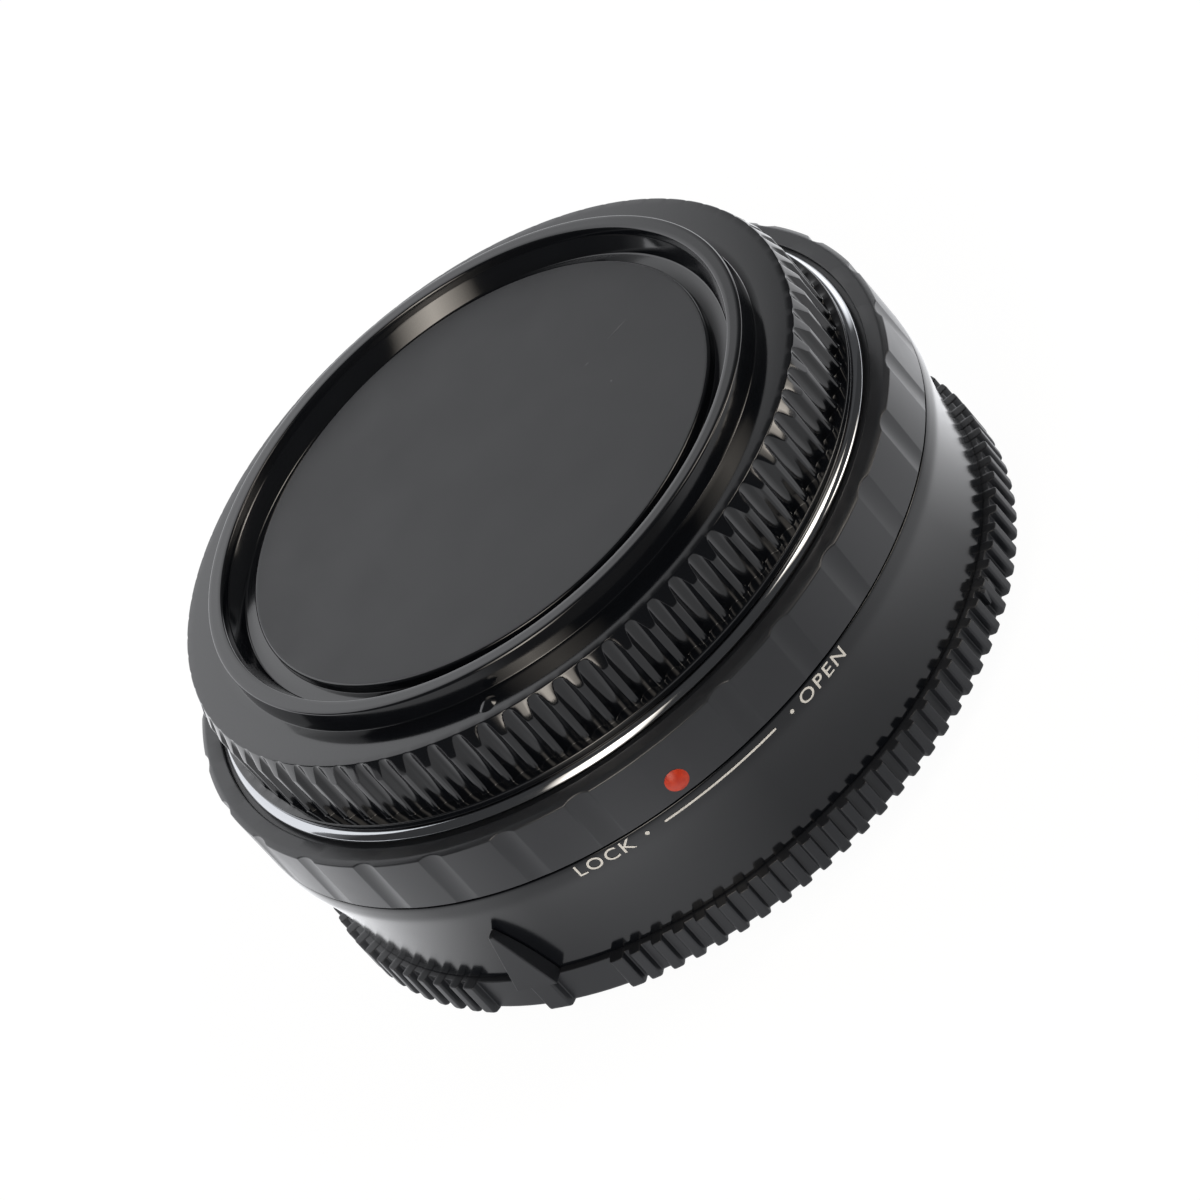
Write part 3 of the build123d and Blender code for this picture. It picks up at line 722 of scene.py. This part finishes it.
def collar_outline(angle):
    """The collar above the slot, with the pocket of the friction leaf."""
    wall = LEAF_FLOOR_R if LEAF_FROM < angle < LEAF_TO else COLLAR_R
    return [
        (BORE_R, SLOT_TOP),
        (wall, SLOT_TOP),
        (wall, LEAF_TOP),
        (COLLAR_R, LEAF_TOP),
        (COLLAR_R, COLLAR_TOP),
        (BORE_R, COLLAR_TOP),
    ]


shape = ([], [])
lathe(shape, [(angle, barrel_outline) for angle in even_angles(TURN_COLUMNS)])
lathe(shape, [(angle, collar_outline(angle)) for angle in even_angles(TURN_COLUMNS)])
solid_half = 180 - (SLOT_TO - SLOT_FROM) / 2
sector(shape, SLOT_TO + solid_half, solid_half, slotted)
make_piece("body_barrel_fine", shape, "adapter", [barrel_skin], None,
           "body_barrel")

# %% [markdown]
# ## The words and the line on the band
#
# The marks tell how far the ring turns. They are engraved with a round cutter and filled
# with paint, so the line ends in rounds. A text curve becomes a mesh, and each of its
# points is wrapped onto the band: sideways distance becomes an angle. A Shrinkwrap modifier
# could lay it on the band too, but would not keep the spacing of the letters. The line and
# the two dots are drawn straight as flat shapes on the band.

# %% Helpers for the marks
MARK_LEVEL, MARK_STAND = 15.46, 0.030
LETTER_HEIGHT, LETTER_SPACING, STROKE_SWELL, LETTER_CURVE_STEPS = 1.16, 1.18, 0.006, 6
BAR_STEPS, BAR_END_STEPS = 24, 8


def on_band(angle, side, up):
    """A place on the band, in metres, sideways and up from an angle."""
    height = MARK_LEVEL + up
    return on_axis(angle + math.degrees(side / BAND_R), barrel_radius(height) + MARK_STAND, height)


def word_shape(shape, word, first, last):
    """Adds a word to a shape, stretched to lie between two angles."""
    text = bpy.data.curves.new(word, "FONT")
    text.body = word
    text.offset = STROKE_SWELL
    text.space_character = LETTER_SPACING
    text.resolution_u = LETTER_CURVE_STEPS
    holder = bpy.data.objects.new(word, text)
    bpy.context.scene.collection.objects.link(holder)
    flat = holder.evaluated_get(bpy.context.evaluated_depsgraph_get()).to_mesh()
    xs = [v.co.x for v in flat.vertices]
    ys = [v.co.y for v in flat.vertices]
    width = math.radians(last - first) * BAND_R / (max(xs) - min(xs))
    tall = LETTER_HEIGHT / (max(ys) - min(ys))
    base = len(shape[0])
    for v in flat.vertices:
        up = (v.co.y - (max(ys) + min(ys)) / 2) * tall
        shape[0].append(on_band(first, (v.co.x - min(xs)) * width, up))
    for face in flat.polygons:
        shape[1].append(tuple(base + k for k in face.vertices))
    bpy.data.objects.remove(holder)


def bar_shape(shape, first, last, thick):
    """Adds a line with round ends between two angles; with equal angles it is a dot."""
    half = thick / 2
    turns = [math.pi * i / BAR_END_STEPS for i in range(BAR_END_STEPS + 1)]
    rim = [(last, half * math.sin(turn), half * math.cos(turn)) for turn in turns]
    rim += [(first, -half * math.sin(turn), -half * math.cos(turn)) for turn in turns]
    base = len(shape[0])
    shape[0].extend(on_band(*spot) for spot in rim)
    if first == last:
        shape[1].append(tuple(range(base, base + len(rim))))
        return
    shape[1].append(tuple(range(base, base + len(turns))))
    shape[1].append(tuple(range(base + len(turns), base + len(rim))))
    row = len(shape[0])
    for i in range(BAR_STEPS + 1):
        angle = first + (last - first) * i / BAR_STEPS
        shape[0].extend((on_band(angle, 0, half), on_band(angle, 0, -half)))
    for i in range(BAR_STEPS):
        at = row + 2 * i
        shape[1].append((at, at + 1, at + 3, at + 2))


print("marks stand", MARK_STAND, "mm off the band")

# %% Marks on the band
WORDS = {"LOCK": (-117.0, -107.9), "OPEN": (-78.4, -69.3)}  # degrees
LINE_FROM, LINE_TO, LINE_THICK = -102.6, -83.5, 0.19
MARK_DOTS, MARK_DOT_SIZE = (-105.6, -80.2), 0.36

shape = ([], [])
for word, (first, last) in WORDS.items():
    word_shape(shape, word, first, last)
bar_shape(shape, LINE_FROM, LINE_TO, LINE_THICK)
for angle in MARK_DOTS:
    bar_shape(shape, angle, angle, MARK_DOT_SIZE)
make_piece("band_marks", shape, "adapter", [cream_paint])

# %% [markdown]
# ## The rear cap
#
# A plainer moulding with a satin finish. Ribs stand round its grip, with a bare stretch at
# each side of the pointer, a triangular plate that lines up with the camera's mark. About a
# quarter turn further there is one squared rib with a bevel at its top and a sloping
# underside, to be felt. An Array modifier could repeat a rib, but the ribs beside the
# pointer are wider and the pitch stops there, so the ribs are columns of the lathe again.

# %% Rear cap: outline and rib
REAR_STEP, REAR_RIM, REAR_FLOOR, REAR_PLATE = 2.60, 5.87, 1.30, 4.60
FOOT_R, WELL_R, REAR_INNER, VALLEY_R, CREST_R = 24.70, 23.20, 29.60, 31.12, 31.75
RIB_FLARE, RIB_FLOOR, RIB_ROOT_CUT, RIB_CREST_CUT = 0.08, 0.16, 0.10, 0.20


def rear_outline(crest):
    """The rear cap's outline where its grip reaches this far out."""
    return rounded(
        [
            (0, 0, None),
            (FOOT_R, 0, 0.20),
            (FOOT_R, REAR_STEP, None),
            (crest, REAR_STEP, 0.36),
            (crest, REAR_RIM, 0.09),
            (REAR_INNER, REAR_RIM, 0.06),
            (REAR_INNER, REAR_PLATE, None),
            (WELL_R, REAR_PLATE, None),
            (WELL_R, REAR_FLOOR, None),
            (0, REAR_FLOOR, None),
        ]
    )


def rib(middle, half):
    """(angle, radius) places across a rib of half width, with rounded corners."""
    root = half + RIB_FLARE
    section = rounded(
        [
            (-root - RIB_FLOOR, VALLEY_R, None),
            (-root, VALLEY_R, RIB_ROOT_CUT),
            (-half, CREST_R, RIB_CREST_CUT),
            (half, CREST_R, RIB_CREST_CUT),
            (root, VALLEY_R, RIB_ROOT_CUT),
            (root + RIB_FLOOR, VALLEY_R, None),
        ]
    )
    return [(middle + math.degrees(side / CREST_R), reach) for side, reach in section]


print("a rib is", len(rib(0, 0.5)), "columns wide")

# %% Rear cap: ribs and lugs
POINTER_ANGLE, RIB_PITCH, FIRST_RIB, RIBS = -135.40, 3.60, 4.5, 92
RIB_HALF, END_RIB_HALF, END_RIB_ANGLE, POINTER_RIB_HALF = 0.45, 0.58, 13.2, 1.05
BARE_ANGLES = (4, 6, 8, 10)
REAR_LUG_HALF = 22  # degrees
REAR_LUG = [(20.90, 3.37), (23.40, 3.37), (23.40, 4.60), (20.90, 4.60)]

places = []
for number in range(RIBS):
    places += rib(POINTER_ANGLE + (FIRST_RIB + number) * RIB_PITCH, RIB_HALF)
pointer_turn = POINTER_ANGLE + 360
places += rib(pointer_turn - END_RIB_ANGLE, END_RIB_HALF)
places += [(pointer_turn - turn, VALLEY_R) for turn in reversed(BARE_ANGLES)]
places += rib(pointer_turn, POINTER_RIB_HALF)
places += [(pointer_turn + turn, VALLEY_R) for turn in BARE_ANGLES]
places += rib(pointer_turn + END_RIB_ANGLE, END_RIB_HALF)
shape = ([], [])
lathe(shape, [(angle, rear_outline(crest)) for angle, crest in places])
for middle in THREE_LUGS:
    sector(shape, middle, REAR_LUG_HALF, REAR_LUG)
print("the rear cap's grip has", len(places), "columns")

# %% Rear cap: index rib
INDEX_ANGLE, INDEX_HALF = POINTER_ANGLE + 25.5 * RIB_PITCH, 0.80
INDEX_FACE, INDEX_BROW, INDEX_BACK = 31.75, 31.42, VALLEY_R - 0.1
INDEX_TOP, INDEX_FOOT, INDEX_BEVEL = REAR_RIM - 0.015, 4.20, 0.40
INDEX_LEAN, INDEX_SLOPE = 0.2, 0.12

block = rounded(
    [
        (INDEX_BACK, INDEX_TOP, None),
        (INDEX_BROW, INDEX_TOP, 0.03),
        (INDEX_FACE, INDEX_TOP - INDEX_BEVEL, 0.03),
        (INDEX_FACE - INDEX_LEAN, INDEX_FOOT, 0.10),
        (INDEX_BACK, INDEX_FOOT, None),
    ]
)
slim_block = [(min(r, INDEX_FACE - INDEX_SLOPE), z) for r, z in block]
half_turn, slope_turn = (math.degrees(side / CREST_R) for side in (INDEX_HALF, INDEX_SLOPE))
lathe(
    shape,
    [
        (INDEX_ANGLE - half_turn, slim_block),
        (INDEX_ANGLE - half_turn + slope_turn, block),
        (INDEX_ANGLE + half_turn - slope_turn, block),
        (INDEX_ANGLE + half_turn, slim_block),
    ],
    closed=False,
)
print("the index rib stands at", round(INDEX_ANGLE, 1), "degrees")

# %% Rear cap: pointer and the piece
POINTER_HALF, POINTER_TIP, POINTER_FOOT, POINTER_TOP = 1.98, 0.22, 5.77, 12.15
POINTER_FACE, POINTER_CLEAR, POINTER_BACK_CUT, POINTER_FACE_CUT = 32.15, 0.09, 0.05, 0.14
POINTER_ROUND = 0.08  # how far the first and the last row are drawn in
POINTER_ROWS = (0, 0.012, 0.2, 0.4, 0.6, 0.8, 0.985, 1)  # shares of its height

rows = []
for share in POINTER_ROWS:
    shrink = POINTER_ROUND if share in (0, 1) else 0
    half = POINTER_HALF + (POINTER_TIP - POINTER_HALF) * share - shrink
    height = POINTER_FOOT + (POINTER_TOP - POINTER_FOOT) * share
    back = barrel_radius(max(height, BARREL_FOOT)) + POINTER_CLEAR
    face = POINTER_FACE - shrink
    loop = rounded(
        [
            (-half, back, POINTER_BACK_CUT),
            (half, back, POINTER_BACK_CUT),
            (half, face, POINTER_FACE_CUT),
            (-half, face, POINTER_FACE_CUT),
        ]
    )
    turned = [(POINTER_ANGLE + math.degrees(side / POINTER_FACE), reach) for side, reach in loop]
    rows.append([on_axis(angle, reach, height) for angle, reach in turned])
loft(shape, rows, closed=False)
make_piece("rear_cap_fine", shape, "rear_cap", [rear_satin], None,
           "rear_cap")

# %% [markdown]
# ## The lens mount and the hidden pieces
#
# Only the thin lip of the chromed lens mount shows. It is turned to a slope with wide
# rounds and polished, so it mirrors everything from the floor to the card, and streaks of
# white and black run along it. The face lies a hair lower than on the CAD piece, which lets
# the heads of the screws stand clear of it. The pieces that never show keep their CAD mesh
# and take a material.

# %% Lens mount
LENS_SEAT, LENS_FACE, NECK_TOP, LENS_LUG_FOOT = 20.45, 22.45, 25.60, 24.30
LIP_FOOT, LIP_EDGE, LIP_TOP = 21.78, 22.00, 22.36
THROAT, NECK, LENS_LUG_R, LIP_ROOT, LIP_BROW, LIP_R = 24.00, 25.40, 26.75, 29.30, 29.56, 29.88
LENS_LUG_ROOT, LENS_LUG_HALF = NECK - 0.3, 22.5
mount_outline = rounded(
    [
        (THROAT, LENS_SEAT, None),
        (COLLAR_R, LENS_SEAT, None),
        (COLLAR_R, LIP_FOOT, None),
        (LIP_R, LIP_FOOT, 0.08),
        (LIP_R, LIP_EDGE, 0.22),
        (LIP_BROW, LIP_TOP, 0.22),
        (LIP_ROOT, LENS_FACE, 0.10),
        (NECK, LENS_FACE, None),
        (NECK, NECK_TOP, 0.12),
        (THROAT, NECK_TOP, 0.12),
    ]
)
lens_lug = rounded(
    [
        (LENS_LUG_ROOT, LENS_LUG_FOOT, None),
        (LENS_LUG_R, LENS_LUG_FOOT, 0.12),
        (LENS_LUG_R, NECK_TOP, 0.12),
        (LENS_LUG_ROOT, NECK_TOP, None),
    ]
)
shape = ([], [])
lathe(shape, [(angle, mount_outline) for angle in even_angles(TURN_COLUMNS)])
for middle in THREE_LUGS:
    sector(shape, middle, LENS_LUG_HALF, lens_lug)
make_piece("lens_mount_fine", shape, "adapter", [chrome], None, "lens_mount")

# %% Hidden pieces
hidden = {
    "camera_mount": chrome,
    "camera_mount_screws": screw_steel,
    "lens_mount_screws": screw_steel,
    "lever_screws": screw_steel,
    "aperture_lever": dark_brass,
    "lever_pin": screw_steel,
    "friction_spring": spring_steel,
}
for name, finish in hidden.items():
    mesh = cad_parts[name].data
    mesh.materials.clear()
    mesh.materials.append(finish)
    print(name, "is", finish.name)

# %% [markdown]
# ## The floor
#
# A black object on white is drawn almost wholly by what it mirrors. Its upright walls
# mirror the floor, and the floor of a photo table lit from below is not even: it is
# brighter behind the object, has soft spots of light in front and at the sides, and ends in
# the dark towards the camera. Area lamps would light the floor in the same way, but a floor
# that glows shows exactly where each streak on the object comes from. The camera sees the
# floor as plain white, and a little grey paint on it keeps the object's shadow.

# %% Helpers for the set
def stage_plane(name, corners, material):
    """A flat four-cornered piece of the set."""
    mesh = bpy.data.meshes.new(name)
    mesh.from_pydata(corners, [], [(0, 1, 2, 3)])
    mesh.materials.append(material)
    plane = bpy.data.objects.new(name, mesh)
    bpy.context.scene.collection.objects.link(plane)
    return plane


def spot_on(tree, place, middle, size, glow):
    """A round or oval spot that fades from its glow in the middle to 0 at its edge."""
    moved = add_node(
        tree,
        "ShaderNodeMapping",
        {"Vector": place, "Location": middle, "Scale": size},
        vector_type="TEXTURE",
    ).outputs["Vector"]
    fading = add_node(tree, "ShaderNodeTexGradient", {"Vector": moved}, gradient_type="SPHERICAL")
    spot = add_node(tree, "ShaderNodeMapRange", {"Value": fading.outputs["Fac"], "To Max": glow})
    return spot.outputs["Result"]


CORNERS = ((-1, -1), (1, -1), (1, 1), (-1, 1))
COOL_WHITE = linear("#fbfcff")
print("white paper is", [round(c, 3) for c in COOL_WHITE])

# %% Floor
FLOOR_HALF, FLOOR_GLOW, FLOOR_PAINT = 3.0, 0.965, 0.06
FRONT_Y, BACK_Y, FRONT_GLOW, BACK_GLOW = -0.016, 0.006, 0.60, 1.50
END_Y, NEAR_Y, END_SHARE = -0.108, -0.084, 0.10
FLOOR_SPOTS = [  # middle and radius in metres, glow: in front, left and right
    ((-0.020, -0.044, 0), 0.022, 0.70),
    ((-0.054, -0.024, 0), 0.026, 0.60),
    ((0.050, -0.034, 0), 0.032, 0.55),
]

paper, tree = empty_material("white paper floor, lit from below")
place = add_node(tree, "ShaderNodeTexCoord").outputs["Object"]
depth = add_node(tree, "ShaderNodeSeparateXYZ", {"Vector": place}).outputs["Y"]
level = add_node(
    tree,
    "ShaderNodeMapRange",
    {
        "Value": depth, "From Min": FRONT_Y, "From Max": BACK_Y,
        "To Min": FRONT_GLOW, "To Max": BACK_GLOW,
    },
).outputs["Result"]
for middle, size, glow in FLOOR_SPOTS:
    spot = spot_on(tree, place, middle, (size, size, size), glow)
    level = add_node(tree, "ShaderNodeMath", {0: level, 1: spot}, operation="ADD").outputs["Value"]
end = add_node(
    tree,
    "ShaderNodeMapRange",
    {"Value": depth, "From Min": END_Y, "From Max": NEAR_Y, "To Min": END_SHARE, "To Max": 1.0},
).outputs["Result"]
level = add_node(tree, "ShaderNodeMath", {0: level, 1: end}, operation="MULTIPLY").outputs["Value"]
mirrored = add_node(tree, "ShaderNodeEmission", {"Color": COOL_WHITE, "Strength": level})
seen = add_node(tree, "ShaderNodeEmission", {"Color": (1, 1, 1, 1), "Strength": FLOOR_GLOW})
ray = add_node(tree, "ShaderNodeLightPath").outputs["Is Camera Ray"]
glow = add_node(
    tree,
    "ShaderNodeMixShader",
    {0: ray, 1: mirrored.outputs["Emission"], 2: seen.outputs["Emission"]},
).outputs["Shader"]
grey = (FLOOR_PAINT, FLOOR_PAINT, FLOOR_PAINT, 1)
matt = add_node(tree, "ShaderNodeBsdfDiffuse", {"Color": grey}).outputs["BSDF"]
both = add_node(tree, "ShaderNodeAddShader", {0: glow, 1: matt})
add_node(tree, "ShaderNodeOutputMaterial", {"Surface": both.outputs["Shader"]})
stage_plane("floor", [(x * FLOOR_HALF, y * FLOOR_HALF, 0) for x, y in CORNERS], paper)
print("the floor has", len(FLOOR_SPOTS), "soft spots")

# %% [markdown]
# ## The card and the sky
#
# Flat tops mirror what stands behind the object, so a white card stands there. It is
# brighter at its lower left than at its upper right, which gives the disc and the flange
# their slow gradient, and one bright spot low on its right side makes the lip shine at the
# upper right. The sky is dark on the camera's side, because the photographer's room is
# dark, and that leaves the black edges black. What only has to be mirrored must not hide
# the object from another side, so the camera looks straight through it.

# %% Card behind the object
CARD_Y, CARD_HALF, CARD_FOOT, CARD_TOP = 0.35, 0.6, 0.02, 0.7
CARD_MIDDLE, CARD_WAY = Vector((0, CARD_Y, 0.26)), Vector((-0.8, 0, -0.6))
CARD_SPREAD, CARD_LOW, CARD_HIGH = 0.045, 0.90, 1.56
CARD_END, CARD_FADE, CARD_DARK = -0.085, -0.010, 0.12
LIP_SPOT_AT, LIP_SPOT_SIZE, LIP_SPOT_GLOW = (0.29, CARD_Y, 0.09), (0.18, 1.0, 0.18), 3.8


def out_of_view(tree, glow):
    """Sends a glow to the output; what mirrors it shows it, and the camera looks through it."""
    ray = add_node(tree, "ShaderNodeLightPath").outputs["Is Camera Ray"]
    clear = add_node(tree, "ShaderNodeBsdfTransparent").outputs["BSDF"]
    both = add_node(tree, "ShaderNodeMixShader", {0: ray, 1: glow.outputs["Emission"], 2: clear})
    add_node(tree, "ShaderNodeOutputMaterial", {"Surface": both.outputs["Shader"]})


board, tree = empty_material("white card behind the object")
place = add_node(tree, "ShaderNodeTexCoord").outputs["Object"]
moved = add_node(tree, "ShaderNodeVectorMath", {0: place, 1: CARD_MIDDLE}, operation="SUBTRACT")
along = add_node(
    tree,
    "ShaderNodeVectorMath",
    {0: moved.outputs["Vector"], 1: CARD_WAY},
    operation="DOT_PRODUCT",
).outputs["Value"]
level = add_node(
    tree,
    "ShaderNodeMapRange",
    {
        "Value": along, "From Min": -CARD_SPREAD, "From Max": CARD_SPREAD,
        "To Min": CARD_LOW, "To Max": CARD_HIGH,
    },
).outputs["Result"]
fade = add_node(
    tree,
    "ShaderNodeMapRange",
    {
        "Value": along, "From Min": CARD_END, "From Max": CARD_FADE,
        "To Min": CARD_DARK, "To Max": 1.0,
    },
).outputs["Result"]
level = add_node(tree, "ShaderNodeMath", {0: level, 1: fade}, operation="MULTIPLY").outputs["Value"]
spot = spot_on(tree, place, LIP_SPOT_AT, LIP_SPOT_SIZE, LIP_SPOT_GLOW)
level = add_node(tree, "ShaderNodeMath", {0: level, 1: spot}, operation="ADD").outputs["Value"]
out_of_view(tree, add_node(tree, "ShaderNodeEmission", {"Color": COOL_WHITE, "Strength": level}))
stage_plane(
    "card",
    [
        (-CARD_HALF, CARD_Y, CARD_FOOT),
        (CARD_HALF, CARD_Y, CARD_FOOT),
        (CARD_HALF, CARD_Y, CARD_TOP),
        (-CARD_HALF, CARD_Y, CARD_TOP),
    ],
    board,
)
print("the card stands", CARD_Y, "m behind the object")

# %% Sky
SKY_FRONT, SKY_BACK, SKY_WAY = 0.07, 0.75, (-0.15, 0.97, 0)
SKY_DARK_TO, SKY_BRIGHT_FROM = 0.45, 0.95
world = bpy.data.worlds.new("studio, dark on the camera's side")
bpy.context.scene.world = world
world.use_nodes = True
tree = world.node_tree
tree.nodes.clear()
place = add_node(tree, "ShaderNodeTexCoord").outputs["Generated"]
depth = add_node(tree, "ShaderNodeVectorMath", {0: place, 1: SKY_WAY}, operation="DOT_PRODUCT")
level = add_node(
    tree,
    "ShaderNodeMapRange",
    {
        "Value": depth.outputs["Value"], "From Min": SKY_DARK_TO, "From Max": SKY_BRIGHT_FROM,
        "To Min": SKY_FRONT, "To Max": SKY_BACK,
    },
).outputs["Result"]
sky = add_node(tree, "ShaderNodeBackground", {"Color": COOL_WHITE, "Strength": level})
white = add_node(tree, "ShaderNodeBackground", {"Color": (1, 1, 1, 1), "Strength": 1.0})
ray = add_node(tree, "ShaderNodeLightPath").outputs["Is Camera Ray"]
mixed = add_node(
    tree,
    "ShaderNodeMixShader",
    {0: ray, 1: sky.outputs["Background"], 2: white.outputs["Background"]},
)
add_node(tree, "ShaderNodeOutputWorld", {"Surface": mixed.outputs["Shader"]})
print("the sky goes from", SKY_FRONT, "to", SKY_BACK)

# %% [markdown]
# ## Lamps
#
# The photographer's lamps are soft boxes: strips of lit cloth, brightest along their
# middle. They are what the flutes, the lip and the small rounds mirror as bright threads.
# An area lamp is evenly bright, so each box here is a plane whose cloth fades to its edges.

# %% Soft boxes
STRIP_AWAY, STRIP_HALF, STRIP_GLOW = 0.80, 0.25, 7.5
WARM_WHITE = linear("#fff6ea")
SOFT_BOXES = {  # azimuth and elevation in degrees, half height in metres
    "front_left_strip": (-118, 31, 0.38),
    "right_low_box": (-10, 7, 0.11),
    "right_high_box": (-10, 51, 0.14),
}

cloth, tree = empty_material("soft box cloth, brightest in its middle")
place = add_node(tree, "ShaderNodeTexCoord").outputs["Object"]
across = add_node(tree, "ShaderNodeMapping", {"Vector": place, "Scale": (1 / STRIP_HALF, 0, 0)})
tent = add_node(
    tree, "ShaderNodeTexGradient", {"Vector": across.outputs["Vector"]}, gradient_type="SPHERICAL"
)
level = add_node(tree, "ShaderNodeMapRange", {"Value": tent.outputs["Fac"], "To Max": STRIP_GLOW})
lit = {"Color": WARM_WHITE, "Strength": level.outputs["Result"]}
out_of_view(tree, add_node(tree, "ShaderNodeEmission", lit))


def soft_box(name, azimuth, elevation, tall):
    """A strip of lit cloth that looks at the object; azimuth 0 is +X, as on the object."""
    strip = stage_plane(name, [(x * STRIP_HALF, y * tall, 0) for x, y in CORNERS], cloth)
    flat, lean = math.radians(azimuth), math.radians(elevation)
    level_reach = math.cos(lean)
    way = Vector((level_reach * math.cos(flat), level_reach * math.sin(flat), math.sin(lean)))
    strip.location = way * STRIP_AWAY
    strip.rotation_euler = way.to_track_quat("Z", "Y").to_euler()


for name, (azimuth, elevation, tall) in SOFT_BOXES.items():
    soft_box(name, azimuth, elevation, tall)
print(len(SOFT_BOXES), "soft boxes")

# %% [markdown]
# ## Camera
#
# The lens is long, so the circles look almost like true ellipses. The camera stands 33
# degrees above the table and is rolled, because the object was photographed at a slant.

# %% Camera and output look
ROLL, TILT = -41.6865, 56.6657
FOCAL_LENGTH, SENSOR_WIDTH = 242.53, 36.0
CAMERA_AT = (0.00029, -0.52506, 0.35884)
camera = bpy.data.objects.new("camera", bpy.data.cameras.new("camera"))
camera.data.lens = FOCAL_LENGTH
camera.data.sensor_width = SENSOR_WIDTH
camera.location = CAMERA_AT
turn = Matrix.Rotation(math.radians(TILT), 3, "X") @ Matrix.Rotation(math.radians(ROLL), 3, "Z")
camera.rotation_euler = turn.to_euler()
bpy.context.scene.collection.objects.link(camera)
bpy.context.scene.camera = camera
bpy.context.scene.view_settings.view_transform = "Standard"
